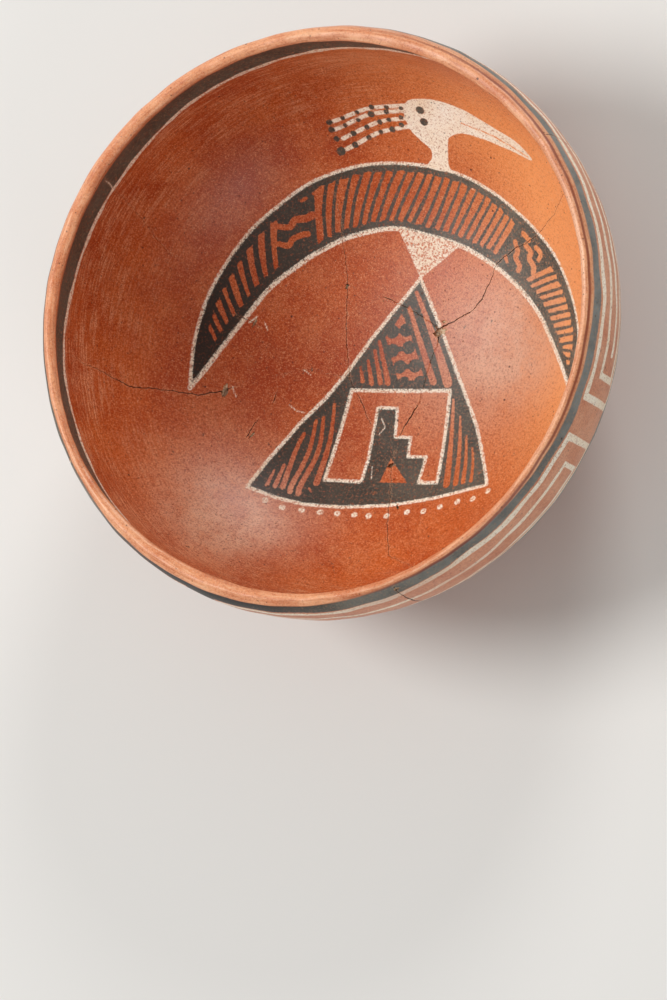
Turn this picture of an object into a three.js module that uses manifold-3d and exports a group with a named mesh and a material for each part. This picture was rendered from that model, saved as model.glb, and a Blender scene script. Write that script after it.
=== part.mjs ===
// A painted pottery bowl, broken long ago and mended: eight sherds set edge to edge.
// Millimetres, +Z up. The origin is the middle of the worn flat that the bowl stands on.
// Bearings are degrees anticlockwise from +X, seen from above. The painted front bar faces -Y.
// A place on the wall is a bearing and a share: how far along the wall it lies from the middle of
// the base, where the share is 0, to the lip, where it is 1.

import * as THREE from 'three';
import { mergeVertices } from 'three/addons/utils/BufferGeometryUtils.js';
import Module from 'manifold-3d';

// Overall size of the pot
const BELLY_DIAMETER = 267;
const HEIGHT = 107.5;
const BASE_DIAMETER = 55;

// The belly is the widest level. It lies this far below the rim, and the rim is drawn in from it.
const BELLY_DROP = 12.5;
const RIM_INSET = 3.4;

// Wall
const WALL = 6;
const FLOOR = 7;
const LIP_THICKNESS = 4.4;
const LIP_BEVEL_HEIGHT = 4;

// The body curve is a quarter of a superellipse: 2 is an ellipse, more is fuller near the base.
const FULLNESS = 2.175;

// Slight unevenness of a pot shaped by hand: [waves round the pot, size, bearing of a crest]
const PLAN_WAVES = [[2, 0.55, 10], [3, 0.3, 40]];
const RIM_WAVES = [[1, 0.9, 90], [2, 0.9, 0]];

// Breaks: the gap between two sherds, the length of a step, how far a step strays to either side
// and its turn from one step to the next, and how far a cut runs on past the lip and the faces
const BREAK_GAP = 0.3;
const BREAK_STEP = 9;
const WANDER = 0.55;
const WANDER_TURN = 2.4;
const OVERRUN = 5;
const CUT_MARGIN = 2;

// Facets
const TURN_STEPS = 90;
const BODY_STEPS = 13;
const RIM_STEPS = 3;
const LIP_STEPS = 4;

const bellyRadius = BELLY_DIAMETER / 2;
const bellyHeight = HEIGHT - BELLY_DROP;
const baseRadius = BASE_DIAMETER / 2;
const rimRadius = bellyRadius - RIM_INSET;

const radians = THREE.MathUtils.degToRad;

// Points of a body curve from its lowest point up to the belly. It leaves the level `bottom` at
// the radius `start`, so a start of 0 gives a round-bottomed curve.
function bodyCurve(radius, bottom, start) {
  const depth = (bellyHeight - bottom) / (1 - (start / radius) ** FULLNESS) ** (1 / FULLNESS);
  const first = Math.acos((start / radius) ** (FULLNESS / 2));
  const points = [];
  for (let i = 0; i <= BODY_STEPS; i += 1) {
    const angle = first * (1 - i / BODY_STEPS);
    const r = radius * Math.cos(angle) ** (2 / FULLNESS);
    const z = bellyHeight - depth * Math.sin(angle) ** (2 / FULLNESS);
    points.push(new THREE.Vector2(r, i === 0 ? bottom : z));
  }
  points[0].x = start;
  return points;
}

// Points above the belly, up to the level `top`, drawn in by `inset` at the height of the rim
function rimCurve(radius, inset, top) {
  const points = [];
  for (let i = 1; i <= RIM_STEPS; i += 1) {
    const z = bellyHeight + ((top - bellyHeight) * i) / RIM_STEPS;
    points.push(new THREE.Vector2(radius - inset * ((z - bellyHeight) / BELLY_DROP) ** 2, z));
  }
  return points;
}

// The lip: a half round that leans outwards, so that its inner side is a worn bevel
function lipCurve() {
  const half = LIP_THICKNESS / 2;
  const points = [];
  for (let i = 1; i <= LIP_STEPS; i += 1) {
    const angle = (Math.PI * i) / (LIP_STEPS + 1);
    const lean = (1 - Math.cos(angle)) / 2;
    const fall = (LIP_BEVEL_HEIGHT - half) * lean ** 2;
    const r = rimRadius - half + half * Math.cos(angle);
    points.push(new THREE.Vector2(r, HEIGHT - half + half * Math.sin(angle) - fall));
  }
  return points;
}

const outerCurve = [
  ...bodyCurve(bellyRadius, 0, baseRadius),
  ...rimCurve(bellyRadius, RIM_INSET, HEIGHT - LIP_THICKNESS / 2),
];
const innerRadius = bellyRadius - WALL;
const innerInset = RIM_INSET + LIP_THICKNESS - WALL;
const innerCurve = [
  ...bodyCurve(innerRadius, FLOOR, 0),
  ...rimCurve(innerRadius, innerInset, HEIGHT - LIP_BEVEL_HEIGHT),
];
const middleCurve = new THREE.SplineCurve([
  ...bodyCurve(bellyRadius - WALL / 2, FLOOR / 2, 0),
  ...rimCurve(bellyRadius - WALL / 2, (RIM_INSET + innerInset) / 2, HEIGHT),
]);
const wallLength = middleCurve.getLength();

// Library for cuts. A geometry becomes a solid once only its shared positions are left.
const wasm = await Module();
wasm.setup();

function solidOf(geometry) {
  geometry.deleteAttribute('normal');
  geometry.deleteAttribute('uv');
  const merged = mergeVertices(geometry, 1e-4);
  return new wasm.Manifold(new wasm.Mesh({
    numProp: 3,
    vertProperties: new Float32Array(merged.attributes.position.array),
    triVerts: new Uint32Array(merged.index.array),
  }));
}

// The whole pot before it broke, turned from one closed profile
function wholeBowl() {
  const profile = [
    new THREE.Vector2(0, 0),
    ...outerCurve,
    ...lipCurve(),
    ...innerCurve.toReversed(),
  ];
  const turned = new THREE.LatheGeometry(profile, TURN_STEPS);
  turned.rotateX(Math.PI / 2);
  return solidOf(turned);
}

// The middle of the wall at a place, with the direction out through the wall there. Shares over 1
// run straight on above the lip.
function wallPlace(bearing, share) {
  const inWall = THREE.MathUtils.clamp(share, 0, 1);
  const spot = middleCurve.getPointAt(inWall);
  const along = middleCurve.getTangentAt(inWall);
  spot.addScaledVector(along, (share - inWall) * wallLength);
  const turn = radians(bearing);
  const around = new THREE.Vector3(Math.cos(turn), Math.sin(turn), 0);
  return {
    point: new THREE.Vector3(around.x * spot.x, around.y * spot.x, spot.y),
    out: new THREE.Vector3(around.x * along.y, around.y * along.y, -along.x),
  };
}

// A break runs between the given places in short steps, and wanders a little to either side as a
// real break does. Steps are taken on the wall rolled flat, so that a break may pass the middle.
// Its lean is how far its line on the inner face lies to the left of its line in mid wall.
function breakPath(places, phase) {
  const flat = places.map(([bearing, share, lean = 0]) => new THREE.Vector3(
    share * Math.cos(radians(bearing)),
    share * Math.sin(radians(bearing)),
    lean,
  ));
  const path = [];
  for (let i = 0; i + 1 < flat.length; i += 1) {
    const leg = flat[i + 1].clone().sub(flat[i]);
    const side = new THREE.Vector3(-leg.y, leg.x, 0).normalize();
    const steps = Math.max(1, Math.round((Math.hypot(leg.x, leg.y) * wallLength) / BREAK_STEP));
    for (let j = 0; j < steps; j += 1) {
      const sway = j === 0 ? 0 : Math.sin(phase + WANDER_TURN * (path.length + 1));
      path.push(flat[i].clone().addScaledVector(leg, j / steps)
        .addScaledVector(side, (sway * WANDER) / wallLength));
    }
  }
  path.push(flat.at(-1));
  return path.map(({ x, y, z }) => {
    const bearing = THREE.MathUtils.radToDeg(Math.atan2(y, x));
    return { ...wallPlace(bearing, Math.hypot(x, y)), lean: z };
  });
}

// A thin strip that follows the break and stands in the wall, as wide as the gap between two
// sherds and deep enough to pass through
function breakCutter(places, phase) {
  const path = breakPath(places, phase);
  const reach = Math.max(WALL, FLOOR, LIP_THICKNESS) / 2 + CUT_MARGIN;
  const vertices = [];
  path.forEach(({ point, out, lean }, i) => {
    const before = path[Math.max(i - 1, 0)].point;
    const after = path[Math.min(i + 1, path.length - 1)].point;
    const along = after.clone().sub(before).normalize();
    const side = along.clone().cross(out).normalize();
    const centre = point.clone();
    if (i === 0) centre.addScaledVector(along, -BREAK_GAP);
    if (i === path.length - 1) centre.addScaledVector(along, BREAK_GAP);
    const slope = lean / (WALL / 2);
    const halfGap = (BREAK_GAP / 2) * Math.hypot(1, slope);
    for (const [across, depth] of [[-1, -1], [1, -1], [1, 1], [-1, 1]]) {
      const corner = centre.clone()
        .addScaledVector(side, across * halfGap - depth * reach * slope)
        .addScaledVector(out, depth * reach);
      vertices.push(corner.x, corner.y, corner.z);
    }
  });
  const faces = [0, 1, 2, 0, 2, 3];
  for (let i = 0; i + 1 < path.length; i += 1) {
    for (let k = 0; k < 4; k += 1) {
      const a = i * 4 + k;
      const b = i * 4 + ((k + 1) % 4);
      // Both long walls take the same diagonal, so the strip keeps its width where it twists
      if (k === 3) faces.push(a, a + 4, b, b, a + 4, b + 4);
      else faces.push(a, a + 4, b + 4, a, b + 4, b);
    }
  }
  const last = (path.length - 1) * 4;
  faces.push(last, last + 2, last + 1, last, last + 3, last + 2);
  const strip = new THREE.BufferGeometry();
  strip.setAttribute('position', new THREE.Float32BufferAttribute(vertices, 3));
  strip.setIndex(faces);
  return solidOf(strip);
}

// A small loss where the edge of a break has crumbled, or where grit has spalled out of the face
function lossCutter({ at, length, width, depth, turn, outside }) {
  const { point, out } = wallPlace(...at);
  const pit = new THREE.SphereGeometry(1, 8, 6);
  pit.scale(length / 2, width / 2, depth);
  pit.rotateZ(radians(turn));
  const facing = out.clone().multiplyScalar(outside ? 1 : -1);
  pit.applyQuaternion(new THREE.Quaternion().setFromUnitVectors(new THREE.Vector3(0, 0, 1), facing));
  const face = point.addScaledVector(facing, WALL / 2);
  pit.translate(face.x, face.y, face.z);
  return solidOf(pit);
}

// Where the breaks meet
const PAST_LIP = 1 + OVERRUN / wallLength;
const CROWN = [55, 0.117];
const WEST = [145, 0.231];
const HEEL = [-144, 0.133];
const FOOT = [-72, 0.268];
const FORK = [-156, 0.288];
const CHIP_BOTTOM = [-133.2, 0.925];

// Each break as the places it passes from one end to the other, with its lean where it has one
const BREAKS = {
  backRight: [
    [54.6, PAST_LIP], [53.4, 0.94], [52.7, 0.66], [52.9, 0.49], [56.5, 0.401], [58.4, 0.335],
    [56, 0.311], [51.2, 0.256], [48.8, 0.221], [50.4, 0.175], CROWN,
  ],
  middleRight: [CROWN, [35, 0.1], [-13, 0.079], [-51, 0.123], [-69, 0.18], FOOT],
  frontRight: [
    FOOT, [-69.3, 0.38, -0.8], [-66.3, 0.46, -3], [-64.6, 0.525, -3], [-58.5, 0.585, -1.5],
    [-55, 0.64], [-54, 0.71], [-53, 0.86], [-52.6, PAST_LIP],
  ],
  middleBack: [WEST, [136, 0.188], [122, 0.152], [92, 0.119], CROWN],
  backLeft: [[125, PAST_LIP], [127, 0.75], [130, 0.42], [135, 0.331], WEST],
  middleLeft: [WEST, [172, 0.157], [-168, 0.136], HEEL],
  middleFront: [HEEL, [-120, 0.132], [-98, 0.154], FOOT],
  heel: [HEEL, [-157, 0.21], FORK],
  left: [
    FORK, [-155, 0.36], [-151.5, 0.43], [-150.8, 0.5], [-152.6, 0.58], [-153.1, 0.667],
    [-156.4, 0.774], [-158, 0.9], [-158.5, PAST_LIP],
  ],
  farLeft: [
    [166, PAST_LIP], [166.6, 0.92], [169.2, 0.76], [172, 0.68], [179, 0.504], [-175.5, 0.37], FORK,
  ],
  frontLeft: [FORK, [-144.7, 0.309], [-134, 0.403], [-130, 0.5], [-131, 0.75], CHIP_BOTTOM],
  chipFront: [CHIP_BOTTOM, [-131.2, 0.945], [-130.7, PAST_LIP]],
  chipBack: [CHIP_BOTTOM, [-135.3, 0.945], [-135.8, PAST_LIP]],
};

// Losses, each at a place on the wall
const LOSSES = [
  { at: [51, 0.118], length: 7, width: 3.4, depth: 1.4, turn: 70 },
  { at: [-72, 0.262], length: 6, width: 3.6, depth: 1.5, turn: 20 },
  { at: [-151.5, 0.435], length: 6, width: 2.6, depth: 1.1, turn: 160 },
  { at: [-46, 0.757], length: 3.6, width: 3, depth: 1.2, turn: 0, outside: true },
];

// The sherds: a name, a place well inside each, and the colour that most of its slip has
const SHERDS = [
  { name: 'back_sherd', at: [90, 0.6], colour: 0xb85a34 },
  { name: 'back_left_sherd', at: [147, 0.6], colour: 0xa84f2c },
  { name: 'left_sherd', at: [-174, 0.75], colour: 0xa24a27 },
  { name: 'front_left_sherd', at: [-143, 0.6], colour: 0xa94f2b },
  { name: 'rim_chip', at: [-133.2, 0.97], colour: 0xc0714e },
  { name: 'front_sherd', at: [-95, 0.6], colour: 0xb55a36 },
  { name: 'right_sherd', at: [0, 0.6], colour: 0xbf6238 },
  { name: 'middle_sherd', at: [-135, 0.02], colour: 0xb9603c },
];

// The sherd that holds a place: the one that a small block put there reaches into
function sherdAt(sherds, at) {
  const { point } = wallPlace(...at);
  const block = new THREE.BoxGeometry(1, 1, 1);
  block.translate(point.x, point.y, point.z);
  const probe = solidOf(block);
  return sherds.find((sherd) => sherd.intersect(probe).volume() > 0);
}

// Unevenness, at its full size at the belly and dying out towards the middle of the base
function uneven(waves, bearing) {
  const sum = (total, [count, size, crest]) => total + size * Math.cos(count * (bearing - radians(crest)));
  return waves.reduce(sum, 0);
}

function shapeByHand(geometry) {
  const spots = geometry.attributes.position;
  for (let i = 0; i < spots.count; i += 1) {
    const x = spots.getX(i);
    const y = spots.getY(i);
    const spread = Math.hypot(x, y) / bellyRadius;
    const bearing = Math.atan2(y, x);
    const wider = 1 + (uneven(PLAN_WAVES, bearing) / bellyRadius) * spread;
    const taller = 1 + (uneven(RIM_WAVES, bearing) / HEIGHT) * spread ** 2;
    spots.setXYZ(i, x * wider, y * wider, spots.getZ(i) * taller);
  }
}

function meshOf(sherd, { name, colour }) {
  const { vertProperties, triVerts, numProp } = sherd.getMesh();
  const geometry = new THREE.BufferGeometry();
  const spots = new THREE.InterleavedBuffer(vertProperties, numProp);
  const positions = new THREE.Float32BufferAttribute(spots.count * 3, 3);
  for (let i = 0; i < spots.count; i += 1) {
    positions.setXYZ(i, ...vertProperties.subarray(i * numProp, i * numProp + 3));
  }
  geometry.setAttribute('position', positions);
  geometry.setIndex(new THREE.BufferAttribute(triVerts, 1));
  shapeByHand(geometry);
  geometry.computeVertexNormals();
  const slip = new THREE.MeshStandardMaterial({ color: colour, roughness: 0.5, metalness: 0 });
  const mesh = new THREE.Mesh(geometry, slip);
  mesh.name = name;
  return mesh;
}

let mended = wholeBowl();
Object.values(BREAKS).forEach((places, i) => {
  mended = mended.subtract(breakCutter(places, i));
});
for (const loss of LOSSES) {
  mended = mended.subtract(lossCutter(loss));
}
const pieces = mended.decompose();

const bowl = new THREE.Group();
bowl.name = 'painted_bowl';
for (const sherd of SHERDS) {
  bowl.add(meshOf(sherdAt(pieces, sherd.at), sherd));
}

export default bowl;
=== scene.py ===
# A painted pottery bowl, mended from eight sherds, on a plain pale floor in soft studio light.
# Lengths are millimetres until a mesh is made. Bearings are degrees anticlockwise from +X, seen
# from above. A place on the wall is a bearing and a share of the way from base to lip.

import math

import bmesh
import bpy
import numpy as np
from mathutils import Matrix, Vector, noise


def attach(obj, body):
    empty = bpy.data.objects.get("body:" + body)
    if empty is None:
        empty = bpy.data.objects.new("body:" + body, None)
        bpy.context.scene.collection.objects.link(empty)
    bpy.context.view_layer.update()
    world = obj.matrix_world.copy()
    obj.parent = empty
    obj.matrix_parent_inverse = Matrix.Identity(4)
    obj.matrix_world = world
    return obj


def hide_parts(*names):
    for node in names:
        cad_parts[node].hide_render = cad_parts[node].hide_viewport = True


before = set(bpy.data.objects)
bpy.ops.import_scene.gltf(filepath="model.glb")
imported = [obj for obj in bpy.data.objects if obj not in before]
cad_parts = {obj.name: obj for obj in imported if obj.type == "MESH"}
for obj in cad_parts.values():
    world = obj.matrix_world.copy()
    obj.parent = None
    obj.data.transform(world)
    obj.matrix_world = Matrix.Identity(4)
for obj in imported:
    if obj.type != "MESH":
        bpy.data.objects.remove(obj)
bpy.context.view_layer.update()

MM = 0.001

# The pot
BELLY_RADIUS = 133.5
BELLY_HEIGHT = 95.0
HEIGHT = 107.5
BASE_RADIUS = 27.5
RIM_INSET = 3.4
WALL = 6.0
FLOOR = 7.0
LIP = 4.4
BEVEL = 4.0
FULLNESS = 2.175
BELLY_DROP = HEIGHT - BELLY_HEIGHT
# How the pot is out of round and its rim uneven: waves round the pot, height, bearing of a crest
PLAN_WAVES = ((2, 0.55, 10), (3, 0.3, 40))
RIM_WAVES = ((1, 0.9, 90), (2, 0.9, 0))
# Dents left by the fingers and nicks along the rim: height, how many waves round the pot, and how
# far a dent moves round on its way up the wall, or where a nick starts
DENTS = ((0.09, 13, 0.11), (0.07, 29, -0.17), (0.06, 47, 0.05))
RIM_NICKS = ((0.12, 31, 1), (0.1, 57, 2))
# Where the lip is thicker inwards: bearing, how far it spreads each way, and by how much
THICK_LIP = ((-97, 43, 1.9), (78, 48, 1.3), (178, 62, 1.3))
# How far below the lip that thickening starts
THICK_BELOW = 16
# Where the rubbed lip reaches further down the inner face: bearing, spread, and by how much
RUBBED_LIP = (175, 65, 2.0)
# Where the wall swells inwards below the lip: bearing, spread, how much, and how far along the
# profile the swelling starts and is thickest
SWELLING = (115, 75, 3.0, 126, 167)

# How fine the mesh is: steps along the profile, and columns round the pot by radius
PAINTED_STEP = 0.82
PLAIN_STEP = 1.8
LIP_STEP = 0.7
BASE_STEP = 2.5
PLAIN_BELOW = 44.0
MOST_COLUMNS = 960
HALF_COLUMNS_WITHIN = 56.0
QUARTER_COLUMNS_WITHIN = 25.0

rng = np.random.default_rng(7)


# Profile


def body_curve(radius, bottom, start):
    """A quarter of a superellipse from its lowest point up to the belly."""
    depth = (BELLY_HEIGHT - bottom) / (1 - (start / radius) ** FULLNESS) ** (1 / FULLNESS)
    first = math.acos((start / radius) ** (FULLNESS / 2))
    angle = first * (1 - np.linspace(0, 1, 400))
    r = radius * np.cos(angle) ** (2 / FULLNESS)
    z = BELLY_HEIGHT - depth * np.sin(angle) ** (2 / FULLNESS)
    r[0], z[0] = start, bottom
    return np.column_stack([r, z])


def rim_curve(radius, inset, top):
    z = np.linspace(BELLY_HEIGHT, top, 40)[1:]
    return np.column_stack([radius - inset * ((z - BELLY_HEIGHT) / BELLY_DROP) ** 2, z])


def lengths(curve):
    return np.concatenate([[0], np.cumsum(np.linalg.norm(np.diff(curve, axis=0), axis=1))])


def rounded(points, closed=False, step=0.4):
    """A smooth curve through given points."""
    p = np.array(points, float)
    n = len(p)
    last = n if closed else n - 1
    out = []
    for i in range(last):
        a, b = p[i], p[(i + 1) % n]
        before = p[i - 1] if closed or i else a
        after = p[(i + 2) % n] if closed or i + 2 < n else b
        count = max(2, int(np.linalg.norm(b - a) / step))
        t = np.linspace(0, 1, count, endpoint=False)[:, None]
        out.append(
            0.5
            * (
                2 * a
                + (b - before) * t
                + (2 * before - 5 * a + 4 * b - after) * t**2
                + (3 * a - before - 3 * b + after) * t**3
            )
        )
    if not closed:
        out.append(p[-1:])
    return np.concatenate(out)


def spaced(curve, step):
    run = lengths(curve)
    even = np.linspace(0, run[-1], max(2, round(run[-1] / step) + 1))
    return np.column_stack([np.interp(even, run, curve[:, k]) for k in (0, 1)])


inner_inset = RIM_INSET + LIP - WALL
rim_radius = BELLY_RADIUS - RIM_INSET
inner = np.concatenate(
    [
        body_curve(BELLY_RADIUS - WALL, FLOOR, 0),
        rim_curve(BELLY_RADIUS - WALL, inner_inset, HEIGHT - BEVEL),
    ]
)
outer = np.concatenate(
    [
        body_curve(BELLY_RADIUS, 0, BASE_RADIUS),
        rim_curve(BELLY_RADIUS, RIM_INSET, HEIGHT - LIP / 2),
    ]
)[::-1]
middle = np.concatenate(
    [
        body_curve(BELLY_RADIUS - WALL / 2, FLOOR / 2, 0),
        rim_curve(BELLY_RADIUS - WALL / 2, (RIM_INSET + inner_inset) / 2, HEIGHT),
    ]
)


def lip_curve():
    """The lip, from the top of the inner face over the worn bevel to the top of the outer face."""
    half = LIP / 2
    points = [inner[-1]]
    for turn in (0.8, 0.6, 0.4, 0.2):
        angle = math.pi * turn
        lean = (1 - math.cos(angle)) / 2
        z = HEIGHT - half + half * math.sin(angle) - (BEVEL - half) * lean**2
        points.append([rim_radius - half + half * math.cos(angle), z])
    points.append(outer[0])
    return rounded(points)


lip = lip_curve()
whole = np.concatenate([inner[:-1], lip[:-1], outer, [[0, 0]]])
run = lengths(whole)
WHOLE_LENGTH = run[-1]
LIP_START = lengths(inner)[-1]

# Along the profile, the angle about the middle of the belly only rises to the crest and then falls
turn_of = np.arctan2(whole[:, 1] - BELLY_HEIGHT, whole[:, 0])
reach_of = np.hypot(whole[:, 0], whole[:, 1] - BELLY_HEIGHT)
turn_of[0] = turn_of[-1] = -math.pi / 2
crest = int(np.argmax(turn_of))
CREST_RUN = run[crest]
# Within this angle of the crest, in radians, the angle hardly changes
CREST_ANGLE = 0.012


def on_profile(r, z):
    """How far along the profile a point lies, how deep it is, and whether it is on the outside."""
    turn = np.arctan2(z - BELLY_HEIGHT, r)
    reach = np.hypot(r, z - BELLY_HEIGHT)
    ins = slice(0, crest + 1)
    out = slice(len(whole) - 1, crest - 1, -1)
    reach_in = np.interp(turn, turn_of[ins], reach_of[ins])
    reach_out = np.interp(turn, turn_of[out], reach_of[out])
    along_in = np.interp(turn, turn_of[ins], run[ins])
    along_out = np.interp(turn, turn_of[out], run[out])
    outside = reach - reach_in > reach_out - reach
    depth = np.minimum(reach - reach_in, reach_out - reach)
    # At the crest that angle hardly changes, so the depth is measured from the lip itself there
    top = turn > turn_of[crest] - CREST_ANGLE
    skin = spaced(lip, 0.05)
    depth[top] = np.hypot(r[top, None] - skin[:, 0], z[top, None] - skin[:, 1]).min(1)
    return np.where(outside, along_out, along_in), depth, outside


# The unbroken pot


def columns(r):
    if r < QUARTER_COLUMNS_WITHIN:
        return MOST_COLUMNS // 4
    return MOST_COLUMNS // 2 if r < HALF_COLUMNS_WITHIN else MOST_COLUMNS


def ring_list():
    fine = outer[outer[:, 1] > PLAIN_BELOW]
    plain = outer[len(fine) - 1 :]
    base = np.array([[BASE_RADIUS, 0], [0, 0]])
    parts = [
        spaced(inner, PAINTED_STEP)[1:],
        spaced(lip, LIP_STEP)[1:-1],
        spaced(fine, PAINTED_STEP),
        spaced(plain, PLAIN_STEP)[1:],
        spaced(base, BASE_STEP)[1:-1],
    ]
    rings = np.concatenate(parts)
    fine_count = sum(len(p) for p in parts[:3])
    counts = [columns(r) for r in rings[:, 0]]
    for i in range(fine_count, len(rings)):
        counts[i] = min(counts[i], MOST_COLUMNS // 2)
    return rings, counts


def unbroken():
    """Corners and faces of the whole pot as it was before it broke."""
    rings, counts = ring_list()
    corners, starts, total = [[[0, 0, FLOOR]]], [], 1
    for (r, z), n in zip(rings, counts):
        t = 2 * math.pi * np.arange(n) / n
        corners.append(np.column_stack([r * np.cos(t), r * np.sin(t), np.full(n, z)]))
        starts.append(total)
        total += n
    corners.append([[0, 0, 0]])
    faces = []
    n = counts[0]
    k = np.arange(n)
    faces.append(np.column_stack([np.zeros(n, int), starts[0] + k, starts[0] + (k + 1) % n]))
    for j in range(len(rings) - 1):
        a0, b0, n, m = starts[j], starts[j + 1], counts[j], counts[j + 1]
        if n == m:
            k = np.arange(n)
            q = (k + 1) % n
            faces.append(np.column_stack([a0 + k, b0 + k, b0 + q]))
            faces.append(np.column_stack([a0 + k, b0 + q, a0 + q]))
            continue
        few = min(n, m)
        k = np.arange(few)
        q = (k + 1) % few
        c, d, e = 2 * k, 2 * k + 1, (2 * k + 2) % (2 * few)
        if n < m:
            a, b, c, d, e = a0 + k, a0 + q, b0 + c, b0 + d, b0 + e
            faces += [np.column_stack(s) for s in ([a, c, d], [a, d, b], [b, d, e])]
        else:
            a, b, c, d, e = b0 + k, b0 + q, a0 + c, a0 + d, a0 + e
            faces += [np.column_stack(s) for s in ([c, a, d], [d, a, b], [d, b, e])]
    n = counts[-1]
    k = np.arange(n)
    last = starts[-1]
    faces.append(np.column_stack([np.full(n, total), last + (k + 1) % n, last + k]))
    return np.concatenate(corners), np.concatenate(faces)


def object_of(name, corners, faces):
    mesh = bpy.data.meshes.new(name)
    mesh.vertices.add(len(corners))
    mesh.vertices.foreach_set("co", np.asarray(corners, np.float32).ravel())
    mesh.loops.add(faces.size)
    mesh.loops.foreach_set("vertex_index", faces.astype(np.int32).ravel())
    mesh.polygons.add(len(faces))
    mesh.polygons.foreach_set("loop_start", np.arange(0, faces.size, 3, dtype=np.int32))
    mesh.update(calc_edges=True)
    made = bpy.data.objects.new(name, mesh)
    bpy.context.scene.collection.objects.link(made)
    return made


# Breaks

# Where the breaks meet
PAST_LIP = 1.026
CROWN = (55, 0.117)
WEST = (145, 0.231)
HEEL = (-144, 0.133)
FOOT = (-72, 0.268)
FORK = (-156, 0.288)
CHIP_BOTTOM = (-133.2, 0.925)

# Each place: bearing, share, how open the break is on the inner face, on the outer face, and its
# lean: how far its line on the inner face lies to the left of its line in mid wall
BREAKS = {
    "back_right": (
        (54.6, PAST_LIP, 0.4, 0.5), (53.4, 0.94, 0.3, 0.4), (52.7, 0.66, 0.3, 0.4),
        (52.9, 0.49, 0.5, 0.4), (56.5, 0.401, 0.8, 0.3), (58.4, 0.335, 0.6, 0.2),
        (56, 0.311, 0.7, 0.2), (51.2, 0.256, 0.9, 0.2), (48.8, 0.221, 0.7, 0.2),
        (50.4, 0.175, 0.7, 0.2), (*CROWN, 0.9, 0.2),
    ),
    "middle_right": (
        (*CROWN, 0.9, 0.2), (44, 0.106, 0.7, 0.2), (35, 0.094, 0, 0.2), (-13, 0.079, 0, 0.2),
        (-46, 0.12, 0, 0.2), (-50, 0.127, 0.8, 0.2), (-62, 0.155, 0.9, 0.2), (-68, 0.183, 0.6, 0.2),
        (-70, 0.2, 0, 0.2), (*FOOT, 0.5, 0.2),
    ),
    "front_right": (
        (*FOOT, 0.5, 0.2), (-69.3, 0.38, 0.7, 0.25, -0.8), (-66.3, 0.46, 0.7, 0.32, -3),
        (-64.6, 0.525, 0.5, 0.42, -3), (-58.5, 0.585, 0.3, 0.5, -1.5), (-55, 0.64, 0.05, 0.6),
        (-54, 0.71, 0.05, 0.4), (-53, 0.86, 0.05, 0.8), (-52.8, 0.94, 0.1, 0.7),
        (-52.6, PAST_LIP, 0.2, 0.2),
    ),
    "middle_back": (
        (*WEST, 0.3, 0.2), (140, 0.2, 0, 0.2), (128, 0.165, 0, 0.2), (124, 0.157, 0.7, 0.2),
        (118, 0.146, 0.6, 0.2), (114, 0.14, 0, 0.2), (92, 0.119, 0, 0.2), (62, 0.117, 0, 0.2),
        (*CROWN, 0.4, 0.2),
    ),
    "back_left": (
        (125, PAST_LIP, 0, 0.1), (127, 0.75, 0, 0.1), (130, 0.46, 0, 0.1), (130, 0.42, 0.35, 0.1),
        (135, 0.331, 0.45, 0.1), (*WEST, 0.6, 0.2),
    ),
    "middle_left": (
        (*WEST, 0.6, 0.2), (172, 0.157, 0.45, 0.2), (-168, 0.136, 0.4, 0.2), (*HEEL, 0.25, 0.2),
    ),
    "middle_front": (
        (*HEEL, 0.2, 0.2), (-125, 0.132, 0, 0.2), (-119, 0.133, 0.6, 0.2), (-104, 0.152, 0.5, 0.2),
        (-94, 0.17, 0.3, 0.2), (-90, 0.185, 0, 0.2), (-78, 0.24, 0, 0.2), (*FOOT, 0.5, 0.2),
    ),
    "heel": (
        (*HEEL, 0.1, 0.2), (-151, 0.173, 0.3, 0.2), (-155, 0.2, 0.05, 0.2),
        (-157.5, 0.236, 0.3, 0.2), (-157, 0.26, 0.1, 0.2), (*FORK, 0.3, 0.2),
    ),
    "left": (
        (*FORK, 0.15, 0.2), (-155, 0.36, 0, 0.2), (-153, 0.4, 0, 0.2), (-151.5, 0.43, 0.9, 0.2),
        (-150.8, 0.5, 0.8, 0.2), (-152.6, 0.58, 0.6, 0.2), (-153.1, 0.667, 0.6, 0.2),
        (-156.4, 0.774, 0.3, 0.2), (-158, 0.9, 0.05, 0.1), (-158.5, PAST_LIP, 0.1, 0.1),
    ),
    "far_left": (
        (166, PAST_LIP, 0.15, 0.1), (166.6, 0.92, 0.2, 0.1), (169.2, 0.76, 0.15, 0.1),
        (172, 0.68, 0.2, 0.1), (179, 0.504, 0, 0.1), (-177.5, 0.44, 0, 0.1), (-177, 0.43, 0.5, 0.1),
        (-176.5, 0.39, 0.7, 0.1), (-175.5, 0.365, 0.4, 0.1), (-174, 0.35, 0, 0.1),
        (*FORK, 0.1, 0.2),
    ),
    "front_left": (
        (*FORK, 0.3, 0.2), (-151, 0.3, 0, 0.1), (-147.5, 0.313, 0.1, 0.1),
        (-146.5, 0.316, 0.8, 0.1), (-143.4, 0.327, 0.7, 0.1), (-142.6, 0.332, 0, 0.1),
        (-139, 0.37, 0, 0.1), (-137.6, 0.383, 0.8, 0.1), (-134.2, 0.413, 0.8, 0.1),
        (-133.6, 0.42, 0, 0.1), (-130, 0.5, 0, 0.1), (-131, 0.75, 0, 0.05),
        (-132.6, 0.895, 0, 0.05), (*CHIP_BOTTOM, 0.1, 0.5),
    ),
    "chip_front": ((*CHIP_BOTTOM, 0, 0.7), (-131.2, 0.945, 0, 0.7), (-130.7, PAST_LIP, 0.1, 0.3)),
    "chip_back": ((*CHIP_BOTTOM, 0, 0.2), (-135.3, 0.945, 0, 0.1), (-135.8, PAST_LIP, 0.1, 0.1)),
}
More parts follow.
